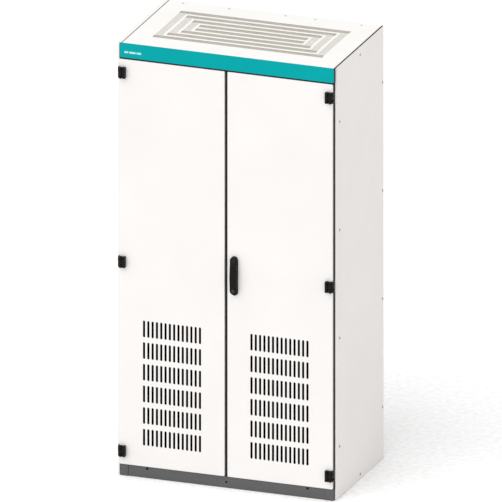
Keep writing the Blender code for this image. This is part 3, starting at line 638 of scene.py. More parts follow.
def build_header():
    """The coloured fascia, with its rounded edges and its flanges, and a blank badge on it."""
    low, high = header_low, header_high
    span, rise = (low.x + 0.0018, high.x - 0.006), (low.z + 0.0032, high.z - 0.0004)
    bm = pan(facing("front", low.y), span, rise, 0.0012, corner=0.006, fold=0.001)
    finish("header_fascia", bm, "header", ["header_strip"])
    # The carrier is dark foam that shows at the fascia's ends and edges and fills the gap above the
    # doors: painted shade for the shadow lines round the fascia.
    carrier = bmesh.new()
    block(carrier, (low.x, high.x - 0.001), (low.y + 0.0008, low.y + 0.0021), (low.z, high.z - 0.001))
    inner = (low.x + 0.001, door_high.x + 0.002)
    for level in (low.z, HEADER_TOP_RAIL):
        block(carrier, inner, (low.y + 0.0015, high.y), (level, level + 0.002))
    block(carrier, inner, (low.y + 0.004, low.y + 0.02), (door_high.z - 0.0012, low.z))
    finish("header_carrier", carrier, "gasket", bevel=0.0002)
    badge = bmesh.new()
    put = facing("front", low.y - 0.0006)
    start = low.x + 0.024
    for width in BADGE_BARS:
        bar = rounded_rectangle((start, start + width), BADGE_Z, 0.0, 0.002)
        loops = [new_loop(badge, put, bar, 0.0), new_loop(badge, put, bar, 0.0007)]
        sew(badge, loops)
        badge.faces.new(loops[0])
        badge.faces.new(list(reversed(loops[1])))
        start += width + 0.004
    finish("header_badge", badge, "badge")


def build_plinth():
    """Each long beam is a channel between two corner blocks, with plugs in its bolt holes."""
    for name, sign in (("plinth_front", -1), ("plinth_rear", 1)):
        low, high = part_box(name)
        face, back = (low.y, high.y) if sign < 0 else (high.y, low.y)
        corner, wall = 0.038, 0.003
        inner = face - sign * 0.002
        recess = inner - sign * wall
        outline = [(inner, low.z), (inner, high.z), (back, high.z), (back, high.z - wall),
                   (recess, high.z - wall), (recess, low.z + wall), (back, low.z + wall), (back, low.z)]
        bm = extruded(bmesh.new(), outline, "X", low.x + corner + 0.0003, high.x - corner - 0.0003)
        for x in ((low.x, low.x + corner), (high.x - corner, high.x)):
            block(bm, x, sorted((face, back)), (low.z, high.z))
        finish(name + "_beam", bm, "plinth", [name], bevel=0.0012)
        plugs = bmesh.new()
        profile = [(0.006, -0.001), (0.006, 0.0008), (0.0052, 0.0014), (0.0034, 0.0014), (0.003, 0.0002)]
        for x in PLUG_X:
            turned(plugs, profile, (x, inner, PLUG_Z), (0, sign, 0), 20)
        turned(plugs, [(0.005, -0.001), (0.005, 0.001), (0.004, 0.0016)], (0.0, inner, 0.027),
               (0, sign, 0), 18)
        finish(name + "_plugs", plugs, "handle")


# ---------------------------------------------------------------- doors
def build_door(name, body, side):
    """The slotted sheet with its folds. Its free edge keeps a few millimetres from the other door."""
    low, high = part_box(name)
    x = (low.x, high.x - FREE_EDGE[side]) if side < 0 else (low.x + FREE_EDGE[side], high.x)
    half = SLOT_PITCH[0] * SLOT_COLUMNS / 2
    field_low = (SLOT_FIELD_X[side] - half, SLOT_FIELD_BOTTOM)
    slots = [(field_low, SLOT_PITCH, (SLOT_COLUMNS, SLOT_ROWS), SLOT_SIZE, 6)]
    bm = pan(facing("front", FACE), x, (low.z + 0.0028, high.z - 0.0016), high.y - FACE, lip=0.018,
             fields=slots)
    finish(name + "_sheet", bm, "paint", [name], SHEET, body=body)


def build_stiffeners(name, body, side):
    """Two punched hat rails welded inside each door."""
    low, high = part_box(name)
    back, front = high.y - 0.0035, FACE + SHEET + 0.0002
    half, brim, count = 0.011, 0.0165, 36
    plan = [(-brim, front), (-brim, front + SHEET), (-half - SHEET, front + SHEET),
            (-half - SHEET, back), (half + SHEET, back), (half + SHEET, front + SHEET),
            (brim, front + SHEET), (brim, front), (half, front), (half, back - SHEET),
            (-half, back - SHEET), (-half, front)]
    for edge, centre in RAIL_X.items():
        bm = bmesh.new()
        outline = [(side * centre + across, y) for across, y in plan]
        extruded(bm, outline, "Z", low.z + 0.045, high.z - 0.045)
        tool = bmesh.new()
        for index in range(count):
            z = low.z + 0.085 + (high.z - low.z - 0.17) * index / (count - 1)
            block(tool, around(side * centre, 0.004), around(back, 0.004), around(z, 0.0062))
        finish(name + "_rail_" + edge, bm, "galvanised", bevel=0.0004, cuts=[tool], body=body)


def build_gasket(name, body):
    """A foamed seal with a rounded back, all the way round the door's lip."""
    low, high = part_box(name)
    put = facing("front", low.y)
    bm = bmesh.new()
    loops = []
    width, height = 0.008, high.y - low.y
    section = [(0.0, 0.0), (0.0, 0.5), (0.12, 0.8), (0.35, 1.0), (0.65, 1.0), (0.88, 0.8), (1.0, 0.5),
               (1.0, 0.0)]
    for across, level in section:
        outline = rounded_rectangle((low.x, high.x), (low.z, high.z), across * width, 0.012)
        loops.append(new_loop(bm, put, outline, level * height))
    sew(bm, loops, closed=True)
    finish(name + "_foam", bm, "gasket", [name], body=body)


def build_filter(name, body):
    """A fleece mat, a little plumper in the middle."""
    low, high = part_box(name)
    bm = bmesh.new()
    across, up = 14, 28
    half = (high.y - low.y) / 2
    grids = ({}, {})
    for sign, grid in zip((-1, 1), grids):
        for i in range(across + 1):
            for j in range(up + 1):
                a, b = i / across, j / up
                plump = min(1.0, 0.55 + 6.0 * min(a, 1 - a, b / 2, (1 - b) / 2))
                ripple = 0.0006 * sin(9.0 * b * pi) * sin(3.0 * a * pi)
                y = (low.y + high.y) / 2 + (half * plump - abs(ripple)) * sign
                spot = (low.x + (high.x - low.x) * a, y, low.z + (high.z - low.z) * b)
                grid[i, j] = bm.verts.new(spot)
    for level, grid in enumerate(grids):
        for i in range(across):
            for j in range(up):
                quad = [grid[i, j], grid[i + 1, j], grid[i + 1, j + 1], grid[i, j + 1]]
                bm.faces.new(quad if level == 0 else list(reversed(quad)))
    rim = [(i, 0) for i in range(across)] + [(across, j) for j in range(up)]
    rim += [(i, up) for i in range(across, 0, -1)] + [(0, j) for j in range(up, 0, -1)]
    for here, there in zip(rim, rim[1:] + rim[:1]):
        bm.faces.new((grids[0][here], grids[1][here], grids[1][there], grids[0][there]))
    finish(name + "_fleece", bm, "filter", [name], body=body)


def build_doors():
    for build in (build_door, build_stiffeners):
        build("left_door", "left_leaf", -1)
        build("right_door", "right_leaf", 1)
    build_seals()
    for side in ("left", "right"):
        build_gasket(side + "_door_gasket", side + "_leaf")
        build_filter(side + "_filter_mat", side + "_leaf")


def build_seals():
    """Dark foam strips that fill the gap between the doors and those beside them: painted shade in the
    gaps, the middle one also standing for the left door's closing strip.
    """
    block_piece("centre_seal", "gasket", CENTRE_SEAL_SHADE_X, (FACE + 0.007, FACE + 0.02),
                (door_low.z + 0.004, door_high.z - 0.004), 0.0008, body="left_leaf")
    gaps = [door_low.z]
    for height_name in HINGE_NAMES:
        low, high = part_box("hinge_bracket_right_" + height_name)
        gaps += [low.z - 0.001, high.z + 0.001]
    gaps.append(door_high.z)
    bm = bmesh.new()
    for side in (-1, 1):
        x = sorted((side * SIDE_GAP_X[0], side * SIDE_GAP_X[1]))
        # The right-hand strips stand nearer the door face, and get an extra block in front of the side
        # panel's edge: more painted shade in the right gap.
        front = FACE + (0.016 if side > 0 else 0.0225)
        for z in zip(gaps[::2], gaps[1::2]):
            block(bm, x, (front, FACE + 0.0256), z)
            if side > 0:
                block(bm, (x[0], x[1] + 0.0014), (FACE + 0.0085, FACE + 0.0157), z)
    finish("side_gap_seals", bm, "gasket", bevel=0.0006)
    block_piece("plinth_sill", "plinth", (plinth_low.x + 0.001, plinth_high.x - 0.001),
                (FACE + 0.0012, FACE + 0.02), (plinth_high.z + 0.0001, plinth_high.z + 0.0025), 0.0004)


# ---------------------------------------------------------------- hinges
def build_hinge(side_name, height_name):
    """A bracket on the cabinet with its pin, and a leaf on the door whose knuckle turns on it."""
    side = 1 if side_name == "right" else -1
    ending = side_name + "_" + height_name
    bracket_low, bracket_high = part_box("hinge_bracket_" + ending)
    leaf_low, leaf_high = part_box("hinge_leaf_" + ending)
    z, half = (leaf_low.z + leaf_high.z) / 2, (leaf_high.z - leaf_low.z) / 2
    axis_x, axis_y = joints[side_name + "_door_hinge"]["pos_m"][:2]
    radius, knuckle, bore, strap = 0.008, 0.0075, 0.0038, 0.003
    outer = max(abs(bracket_low.x), abs(bracket_high.x))
    inner = min(abs(leaf_low.x), abs(leaf_high.x))
    bracket = bmesh.new()
    web = (axis_y + 0.001, axis_y + 0.0065)
    across = abs(axis_x) + 0.004
    edge = [(outer - strap, bracket_high.y), (outer, bracket_high.y), (outer, web[0])]
    arm = edge + [(across, web[0]), (across, web[1]), (outer - strap, web[1])]
    lower, upper = (z - half, z - knuckle - 0.0005), (z + knuckle + 0.0005, z + half)
    narrow, middle = edge + [(outer - strap, web[0])], (lower[1], upper[0])
    for span, plan in ((lower, arm), (middle, narrow), (upper, arm)):
        extruded(bracket, [(side * x, y) for x, y in plan], "Z", *span)
    for start, end in (lower, upper):
        turned(bracket, [(radius, 0.0), (radius, end - start)], (axis_x, axis_y, start), (0, 0, 1), 28)
    turned(bracket, [(0.0035, 0.0), (0.0035, half * 2 + 0.0025)], (axis_x, axis_y, z - half - 0.003),
           (0, 0, 1), 20)
    finish("hinge_post_side_" + ending, bracket, "hinge", ["hinge_bracket_" + ending], bevel=0.0005)
    leaf = bmesh.new()
    near = abs(axis_x) - radius - 0.001
    face, back = leaf_low.y, leaf_high.y
    plan = [(inner, back), (near, back), (near, face + 0.004), (near - 0.003, face), (inner, face)]
    extruded(leaf, [(side * x, y) for x, y in plan], "Z", z - half, z + half)
    block(leaf, sorted((side * (near - 0.001), side * (abs(axis_x) - 0.004))), around(axis_y, 0.006),
          around(z, knuckle))
    place = Matrix.Translation((axis_x, axis_y, z))
    ring = ((bore, -knuckle), (radius, -knuckle), (radius, knuckle), (bore, knuckle))
    sew(leaf, [circle(leaf, place, *spot, 28) for spot in ring], closed=True)
    finish("hinge_door_side_" + ending, leaf, "hinge", ["hinge_leaf_" + ending], bevel=0.0007,
           body=side_name + "_leaf")
    spots = [(side * (inner + 0.0045), face + 0.0004, height) for height in around(z, 0.014)]
    screw_set("hinge_screws_" + ending, spots, OUTWARD, 0.0028, 0.0004, body=side_name + "_leaf")


def build_hinges():
    for side_name in ("left", "right"):
        for height_name in HINGE_NAMES:
            build_hinge(side_name, height_name)


# ---------------------------------------------------------------- swing handle
def stadium(centre, z, radius, inset=0.0, steps=14):
    """An upright outline with half-round ends, from its right-hand side upwards."""
    points = []
    reach = radius - inset
    for middle, start in ((z[1] - radius, 0.0), (z[0] + radius, pi)):
        for step in range(steps + 1):
            angle = start + pi * step / steps
            points.append((centre + reach * cos(angle), middle + reach * sin(angle)))
    return points


def build_handle():
    build_handle_base()
    build_handle_hub()
    build_handle_lever()
    build_key_core()


def build_handle_base():
    """The escutcheon: a raised rim round a shallow tray that the lever lies over."""
    centre = (base_low.x + base_high.x) / 2
    radius = (base_high.x - base_low.x) / 2
    z = (base_low.z, base_high.z)
    thickness = base_high.y - base_low.y
    bm = bmesh.new()
    section = [(0.0, 0.0), (0.0, 0.7), (0.0006, 0.88), (0.0016, 1.0), (0.0028, 1.0), (0.0036, 0.92),
               (0.004, 0.75)]
    loops = []
    for inset, level in section:
        y = base_high.y - thickness * level
        loops.append([bm.verts.new((x, y, height)) for x, height in stadium(centre, z, radius, inset)])
    sew(bm, loops, capped=True)
    finish("handle_escutcheon", bm, "handle", ["handle_base"], body="right_leaf")


def build_handle_hub():
    """The hub carries a ring and a centre cap. Its skirt is hollowed to clear the lever's end."""
    centre = ((base_low.x + base_high.x) / 2, 0.0, HUB_Z)
    back, face = base_low.y - 0.0003, hub_low.y
    radius = hub_high.x - centre[0]
    bm = bmesh.new()
    arc = [pi * step / 20 for step in range(21)]
    outline = [(centre[0] + radius * cos(t), HUB_Z + radius * sin(t)) for t in arc]
    outline += [(centre[0] - radius, TILT_Z - 0.001), (centre[0] + radius, TILT_Z - 0.001)]
    extruded(bm, outline, "Y", face + 0.0006, back)
    hollow = turned(bmesh.new(), [(LEVER_END + 0.0007, 0.0), (LEVER_END + 0.0007, 0.04)],
                    (centre[0] - 0.02, TILT_Y, TILT_Z), (1, 0, 0), 40)
    below = block(bmesh.new(), around(centre[0], 0.02), (TILT_Y, back + 0.01),
                  (TILT_Z - 0.01, TILT_Z + LEVER_END * 0.75))
    finish("handle_hub_disc", bm, "handle", ["handle_hub"], bevel=0.0007, cuts=[hollow, below],
           body="swivel")
    ring = bmesh.new()
    foot = face + 0.0008
    profile = [(0.0118, 0.0), (0.0118, 0.0004), (0.0112, 0.0008), (0.0098, 0.0008), (0.0092, 0.0003),
               (0.006, 0.0002), (0.0054, 0.0007), (0.003, 0.0008)]
    turned(ring, profile, (centre[0], foot, centre[2]), OUTWARD, 40)
    finish("handle_hub_ring", ring, "hub_ring", body="swivel")
    spindle = turned(bmesh.new(), [(0.006, 0.0), (0.006, hub_high.y - back)],
                     (centre[0], back, centre[2]), (0, 1, 0), 24)
    finish("handle_spindle", spindle, "zinc", body="swivel", slot="handle")
    slope = [(-0.004, -0.0045), (-0.004, 0.002), (-0.0004, 0.0108), (-0.0004, HUB_Z - TILT_Z)]
    outline = [(TILT_Y + y, TILT_Z + z) for y, z in slope]
    outline += [(back - 0.0004, HUB_Z), (back - 0.0004, TILT_Z - 0.0045)]
    lug = extruded(bmesh.new(), outline, "X", centre[0] - 0.0055, centre[0] + 0.0055)
    finish("handle_hub_lug", lug, "handle", bevel=0.0012, body="swivel")


def lever_thickness(z, bottom):
    """How far the grip stands off its back: it swells in one long curve, and its top end is round."""
    back = lever_high.y
    if z > TILT_Z:
        rise = min(z - TILT_Z, LEVER_END)
        return back - TILT_Y + sqrt(LEVER_END ** 2 - rise ** 2)
    share = min(1.0, max(0.0, (TILT_Z - z) / (TILT_Z - bottom)))
    thin, end = back - TILT_Y + LEVER_END, back - key_low.y - 0.0012
    full = back - lever_low.y
    swell = sin(pi * min(1.0, share / 0.86)) ** 1.2
    plain = thin + (end - thin) * share
    return plain + (full - plain) * swell


def build_handle_lever():
    """The grip: a long bar with a half-round foot, rounded edges, and a bore for the lock cylinder."""
    centre = (lever_low.x + lever_high.x) / 2
    half = (lever_high.x - lever_low.x) / 2
    back, bottom = lever_high.y, lever_low.z
    top = TILT_Z + LEVER_END * 0.96
    foot = bottom + half
    heights = [top - LEVER_END * share for share in (0.0, 0.06, 0.16, 0.32, 0.55, 0.8)]
    heights += [TILT_Z - (TILT_Z - foot) * step / 22 for step in range(23)]
    heights += [foot - half * sin(0.5 * pi * step / 9) for step in range(1, 10)]
    bm = bmesh.new()
    rows, feet = [], []
    edge = 0.0042
    shares = [sin(0.5 * pi * step / 8) for step in range(-8, 9)]
    for z in heights:
        drop = max(0.0, foot - z)
        width = max(0.0004, sqrt(max(0.0, half ** 2 - drop ** 2)))
        row = []
        for share in shares:
            x = width * share
            inside = half - hypot(x, drop) if drop > 0.0 else half - abs(x)
            short = max(0.0, edge - inside)
            cut = edge - sqrt(max(0.0, edge ** 2 - short ** 2))
            thickness = max(0.003, lever_thickness(z, bottom) - cut)
            row.append(bm.verts.new((centre + x, back - thickness, z)))
        rows.append(row)
        feet.append([bm.verts.new((centre - width, back, z)), bm.verts.new((centre + width, back, z))])
    for near, far, near_foot, far_foot in zip(rows, rows[1:], feet, feet[1:]):
        for index in range(len(shares) - 1):
            bm.faces.new((near[index], near[index + 1], far[index + 1], far[index]))
        bm.faces.new((near[-1], near_foot[1], far_foot[1], far[-1]))
        bm.faces.new((near_foot[0], near[0], far[0], far_foot[0]))
        bm.faces.new((near_foot[1], near_foot[0], far_foot[0], far_foot[1]))
    bm.faces.new(rows[0] + [feet[0][1], feet[0][0]])
    bm.faces.new(rows[-1] + [feet[-1][1], feet[-1][0]])
    key_middle = (key_low.z + key_high.z) / 2
    bore = turned(bmesh.new(), [(0.008, 0.0), (0.008, 0.05)], (centre, back + 0.01, key_middle),
                  OUTWARD, 40)
    pocket = block(bmesh.new(), around(centre, 0.0062), (TILT_Y - 0.0052, back + 0.01),
                   (TILT_Z - 0.0062, top + 0.01))
    relief = block(bmesh.new(), around(centre, 0.03), (TILT_Y + 0.002, back + 0.01),
                   (TILT_Z + 0.0008, top + 0.01))
    finish("handle_grip", bm, "handle", ["handle_lever"], cuts=[bore, pocket, relief], body="lever")
    pin = turned(bmesh.new(), [(0.0018, 0.0), (0.0018, half * 2 - 0.0012)],
                 (centre - half + 0.0006, TILT_Y, TILT_Z), (1, 0, 0), 18)
    finish("handle_tilt_pin", pin, "zinc", body="lever")


def build_key_core():
    """The lock cylinder, with a narrow key slot in a recessed face; the slot is a black block, painted
    shade, not a hole.
    """
    centre = ((key_low.x + key_high.x) / 2, (key_low.z + key_high.z) / 2)
    radius = (key_high.x - key_low.x) / 2
    face, back = key_low.y, key_high.y
    bm = bmesh.new()
    height = back - face
    profile = [(radius, 0.0), (radius, height - 0.0006), (radius - 0.0006, height),
               (radius - 0.0016, height), (radius - 0.0022, height - 0.0008), (0.0005, height - 0.0008)]
    turned(bm, profile, (centre[0], back, centre[1]), OUTWARD, 32)
    finish("lock_cylinder_body", bm, "lock_face", ["lock_cylinder"], body="key_core")
    # A black block stands in for the slot's hollow: painted shade.
    slot = block(bmesh.new(), around(centre[0], 0.0007), (face + 0.0002, face + 0.002),
                 around(centre[1], 0.0036))
    finish("lock_key_slot", slot, "gasket", bevel=0.0002, body="key_core", slot="handle")


# ---------------------------------------------------------------- frame and equipment
def tube(bm, points, radius, sides=12, steps=10):
    """Adds a round cable through the points, along a smooth curve."""
    spots = [Vector(point) for point in points]
    spots = [2 * spots[0] - spots[1]] + spots + [2 * spots[-1] - spots[-2]]
    path = []
    for a, b, c, d in zip(spots, spots[1:], spots[2:], spots[3:]):
        for step in range(steps):
            t = step / steps
            path.append(0.5 * (2 * b + (c - a) * t + (2 * a - 5 * b + 4 * c - d) * t * t
                               + (3 * b - a - 3 * c + d) * t ** 3))
    path.append(spots[-2])
    turns = [2 * pi * turn / sides for turn in range(sides)]
    loops, across = [], None
    for index, spot in enumerate(path):
        ahead = path[min(index + 1, len(path) - 1)] - path[max(index - 1, 0)]
        if across is None:
            across = ahead.orthogonal().normalized()
        across = (across - across.project(ahead)).normalized()
        other = ahead.cross(across).normalized()
        loops.append([bm.verts.new(spot + radius * (across * cos(t) + other * sin(t)))
                      for t in turns])
    sew(bm, loops, capped=True)


def build_post(name):
    """A rolled corner post with two lips, punched at a 25 mm pitch down both its legs."""
    low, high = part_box(name)
    side, inward = (1 if low.x > 0 else -1), (1 if low.y < 0 else -1)
    x, y = (high.x if side > 0 else low.x), (low.y if inward > 0 else high.y)
    leg, wall, lip, hole, count = high.x - low.x, 0.0022, 0.012, 0.0235, 71
    plan = [(0, 0), (leg, 0), (leg, lip), (leg - wall, lip), (leg - wall, wall), (wall, wall),
            (wall, leg - wall), (lip, leg - wall), (lip, leg), (0, leg)]
    bm = extruded(bmesh.new(), [(x - side * a, y + inward * b) for a, b in plan], "Z", low.z, high.z)
    tool = bmesh.new()
    for index in range(count):
        z = low.z + 0.025 + (high.z - low.z - 0.05) * index / (count - 1)
        half = 0.0046 if index % 2 else 0.003
        block(tool, sorted((x - side * (hole - half), x - side * (hole + half))),
              sorted((y - inward * 0.002, y + inward * 0.005)), around(z, half))
        block(tool, sorted((x + side * 0.002, x - side * 0.005)),
              sorted((y + inward * (hole - half), y + inward * (hole + half))), around(z, half))
    finish(name + "_rolled", bm, "galvanised", [name], bevel=0.0006, cuts=[tool])


def build_plate_fittings():
    """Screws round the mounting plate, bolts on the earth bar, and slotted cable ducts."""
    face = plate_low.y
    spots = [(x, face, z) for x in (-0.452, 0.452) for z in (0.165, 0.5, 1.00, 1.5, 1.835)]
    spots += [(x, face, z) for x in (-0.2, 0.2) for z in (0.155, 1.845)]
    screw_set("plate_screws", spots, OUTWARD, 0.0065, 0.003)
    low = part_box("earth_bar")[0]
    bolts = bmesh.new()
    for index in (0, 2, 3, 5, 6, 8, 9, 11):
        spot = (-0.275 + 0.05 * index, low.y, 0.2)
        turned(bolts, [(0.0085, -0.0002), (0.0085, 0.0014)], spot, OUTWARD, 20)
        head = [(0.007, 0.001), (0.007, 0.0056), (0.0062, 0.0064)]
        turned(bolts, head, spot, OUTWARD, 6, 0.3 * index)
    finish("earth_bolts", bolts, "zinc")
    build_duct("left", (-0.458, -0.418), (0.44, 1.84), True)
    for name, z in (("upper", (1.385, 1.425)), ("middle", (0.965, 1.005)), ("lower", (0.68, 0.72))):
        build_duct(name, (-0.414, -0.03), z, False)


def build_duct(name, x, z, upright):
    """Slotted trunking: a back, two combs of fingers, and a cover that clips over them."""
    face, depth = plate_low.y - 0.0002, 0.058
    bm = bmesh.new()
    block(bm, x, (face - 0.0016, face), z)
    block(bm, x, (face - depth, face - depth + 0.0018), z)
    span, sides = (z, x) if upright else (x, z)
    pitch, finger = 0.0125, 0.0076
    deep = (face - depth + 0.001, face - 0.001)
    for index in range(int((span[1] - span[0]) / pitch)):
        start = span[0] + 0.0024 + pitch * index
        for edge in ((sides[0] + 0.0004, sides[0] + 0.0019), (sides[1] - 0.0019, sides[1] - 0.0004)):
            along = (start, start + finger)
            block(bm, edge if upright else along, deep, along if upright else edge)
    for edge in ((sides[0], sides[0] + 0.001), (sides[1] - 0.001, sides[1])):
        block(bm, edge if upright else span, (face - depth + 0.0012, face - depth + 0.01),
              span if upright else edge)
    finish("cable_duct_" + name, bm, "duct")


def build_drive_cover():
    """The converter's cover: louvred above and below, with a small operator panel."""
    low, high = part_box("drive_cover")
    face = low.y + 0.0045
    middle = (low.x + high.x) / 2
    fields = [((middle - 0.16, z), (0.04, 0.012), (8, 10), (0.032, 0.005))
              for z in (low.z + 0.05, high.z - 0.17)]
    bm = pan(facing("front", face), (low.x, high.x), (low.z, high.z), high.y - face, fold=0.003,
             fields=fields)
    finish("drive_cover_sheet", bm, "drive_cover", ["drive_cover"], SHEET)
    spots = [(x, face, z) for x in (low.x + 0.014, high.x - 0.014)
             for z in (low.z + 0.014, (low.z + high.z) / 2, high.z - 0.014)]
    screw_set("drive_cover_screws", spots, OUTWARD, 0.0045, 0.0022)
    block_piece("operator_panel", "device", around(middle, 0.046), (face - 0.0036, face + 0.001),
                (1.318, 1.468), 0.0016)
    block_piece("operator_screen", "screen", around(middle, 0.036), (face - 0.0042, face - 0.003),
                (1.408, 1.456), 0.0004)
    keys = bmesh.new()
    for row in range(3):
        for column in range(3):
            x, z = middle - 0.024 + 0.024 * column, 1.338 + 0.023 * row
            block(keys, around(x, 0.0085), (face - 0.0044, face - 0.003), around(z, 0.007))
    finish("operator_keys", keys, "light_plastic", bevel=0.0005)
    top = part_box("drive_chassis")[1].z
    grille = bmesh.new()
    pierce(grille, facing("top", top - 0.0022), (0.068, 0.002), (0.0264, 0.012), (10, 12),
           (0.0215, 0.0078))
    finish("drive_outlet_grille", grille, "galvanised", thickness=0.0012)
    block_piece("drive_cover_seam", "gasket", (low.x + 0.0005, high.x - 0.0005),
                (face - 0.0006, face + 0.0004), (1.5225, 1.5245), 0.0, slot="drive_cover")


def build_main_switch():
    low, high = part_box("main_switch")
    x, z = (low.x + high.x) / 2, (low.z + high.z) / 2
    shoulder = low.y + 0.03
    bm = block(bmesh.new(), (low.x, high.x), (shoulder, high.y), (low.z, high.z))
    finish("main_switch_body", bm, "device", ["main_switch"], bevel=0.003)
    block_piece("main_switch_front", "device", around(x, 0.06), (low.y + 0.002, shoulder + 0.002),
                around(z, 0.06), 0.004)
    plate = turned(bmesh.new(), [(0.052, -0.0005), (0.052, 0.0014), (0.051, 0.002)],
                   (x, low.y + 0.002, z), OUTWARD, 48)
    finish("main_switch_dial", plate, "light_plastic")
    ribs = bmesh.new()
    for level in (low.z + 0.0215, high.z - 0.0215):
        for index in range(4):
            block(ribs, around(low.x + 0.012 + 0.052 * index, 0.002),
                  (shoulder - 0.012, shoulder + 0.002), around(level, 0.0195))
        for index in range(3):
            turned(ribs, [(0.009, -0.001), (0.009, 0.003), (0.0078, 0.0042)],
                   (low.x + 0.038 + 0.052 * index, shoulder, level), OUTWARD, 20)
    finish("main_switch_shrouds", ribs, "device", bevel=0.0006)


def build_contactor():
    """Three poles side by side, with a terminal screw above and below on each."""
    low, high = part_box("line_contactor")
    step, width = high.y - 0.08, (high.x - low.x) / 3
    outline = stepped(high.y, step, low.y, low.z, high.z, 0.02)
    bm, spots = bmesh.new(), []
    for index in range(3):
        x = low.x + width * index
        extruded(bm, outline, "X", x + 0.0008, x + width - 0.0008)
        spots += [(x + width / 2, step, z) for z in (low.z + 0.01, high.z - 0.01)]
    finish("contactor_poles", bm, "device", ["line_contactor"], bevel=0.0014)
    screw_set("contactor_screws", spots, OUTWARD, 0.006, 0.0025)
    block_piece("contactor_indicator", "light_plastic", (low.x + width + 0.006, high.x - width - 0.006),
                (low.y, low.y + 0.002), (low.z + 0.06, high.z - 0.06), 0.0006)


def build_control_unit():
    """A control box on a rail: a hinged lid, a column of connectors, and plug-in terminals."""
    low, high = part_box("control_unit")
    step, front = high.y - 0.05, low.y + 0.002
    bm = extruded(bmesh.new(), stepped(high.y, step, front, low.z, high.z, 0.03), "X", low.x, high.x)
    finish("control_box", bm, "light_plastic", ["control_unit"], bevel=0.002)
    block_piece("control_lid", "device", (low.x + 0.012, low.x + 0.215), (low.y, front + 0.001),
                (low.z + 0.042, high.z - 0.042), 0.001)
    plugs = bmesh.new()
    for index in range(5):
        z = low.z + 0.05 + 0.029 * index
        block(plugs, (high.x - 0.088, high.x - 0.046), (low.y + 0.0004, front + 0.001), (z, z + 0.016))
    for z in (low.z + 0.003, high.z - 0.027):
        for index in range(15):
            x = low.x + 0.012 + 0.02 * index
            block(plugs, (x, x + 0.0165), (step - 0.015, step + 0.001), (z, z + 0.024))
    finish("control_plugs", plugs, "connector", bevel=0.0007)
    lamps = bmesh.new()
    for index in range(4):
        turned(lamps, [(0.003, -0.001), (0.003, 0.001), (0.002, 0.0019)],
               (high.x - 0.022, front, low.z + 0.08 + 0.02 * index), OUTWARD, 16)
    finish("control_lamps", lamps, "lamp")


def build_terminals():
    """Twenty terminal blocks on a hat rail, each with its two clamping screws."""
    low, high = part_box("terminal_strip")
    back, centre = high.y, (low.z + high.z) / 2
    half_hat = [(0.0002, -0.0125), (0.0065, -0.0125), (0.0065, -0.0175), (0.0075, -0.0175),
                (0.0075, -0.0115), (0.0012, -0.0115)]
    hat = [(back - depth, centre + rise) for depth, rise in half_hat]
    hat += [(back - depth, centre - rise) for depth, rise in reversed(half_hat)]
    rail = extruded(bmesh.new(), hat, "X", low.x, high.x)
    finish("terminal_rail", rail, "zinc", ["terminal_strip"], bevel=0.0002)
    bodies, coloured, screws = bmesh.new(), bmesh.new(), bmesh.new()
    profile = [(back - 0.0076, low.z + 0.002), (back - 0.0076, high.z - 0.002), (back - 0.028, high.z),
               (back - 0.046, high.z - 0.004), (back - 0.05, high.z - 0.014),
               (back - 0.05, low.z + 0.014), (back - 0.046, low.z + 0.004), (back - 0.028, low.z)]
    for index in range(20):
        x = low.x + 0.008 + 0.016 * index
        extruded(coloured if index in (6, 13, 19) else bodies, profile, "X", x, x + 0.0154)
        for z in (low.z + 0.018, high.z - 0.018):
            turned(screws, [(0.0034, -0.002), (0.0034, -0.0002), (0.003, 0.0)],
                   (x + 0.0077, back - 0.0502, z), OUTWARD, 14)
    finish("terminal_blocks", bodies, "light_plastic", bevel=0.0006)
    finish("terminal_earth_blocks", coloured, "connector", bevel=0.0006, slot="light_plastic")
    finish("terminal_screws", screws, "zinc")


def build_reactor():
    """Rounded windings with collars above and below, and two clamping angles along the core."""
    core_low, core_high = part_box("reactor_core")
    lugs = bmesh.new()
    for name in COIL_NAMES:
        low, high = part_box("reactor_coil_" + name)
        build_up = (high.x - low.x - 0.064) / 2
        parts = (("winding", "winding", low.z + 0.007, high.z - 0.007, 0.0016),
                 ("collar_low", "fibre", low.z, low.z + 0.0068, 0.0),
                 ("collar_high", "fibre", high.z - 0.0068, high.z, 0.0))
        for part, look, start, end, inset in parts:
            bm = bmesh.new()
            loops = []
            for edge, z, radius in ((inset, start, 0.018), (inset, end, 0.018), (build_up, end, 0.003),
                                    (build_up, start, 0.003)):
                outline = rounded_rectangle((low.x, high.x), (low.y, high.y), edge, radius + edge, 6)
                loops.append([bm.verts.new((x, y, z)) for x, y in outline])
            sew(bm, loops, closed=True)
            finish("reactor_" + part + "_" + name, bm, look,
                   ["reactor_coil_" + name] if part == "winding" else (), bevel=0.0008)
        for x in (low.x + 0.03, high.x - 0.03):
            block(lugs, around(x, 0.009), (low.y + 0.012, low.y + 0.015),
                  (high.z - 0.004, high.z + 0.03))
    finish("reactor_lugs", lugs, "copper", bevel=0.0006)
    angles = bmesh.new()
    for z in (core_high.z - 0.055, core_low.z + 0.01):
        for y, away in ((core_low.y - 0.0034, -1), (core_high.y + 0.0034, 1)):
            block(angles, (core_low.x - 0.006, core_high.x + 0.006),
                  sorted((y + away * 0.003, y - away * 0.003)), (z, z + 0.045))
    finish("reactor_angles", angles, "galvanised", bevel=0.0008)


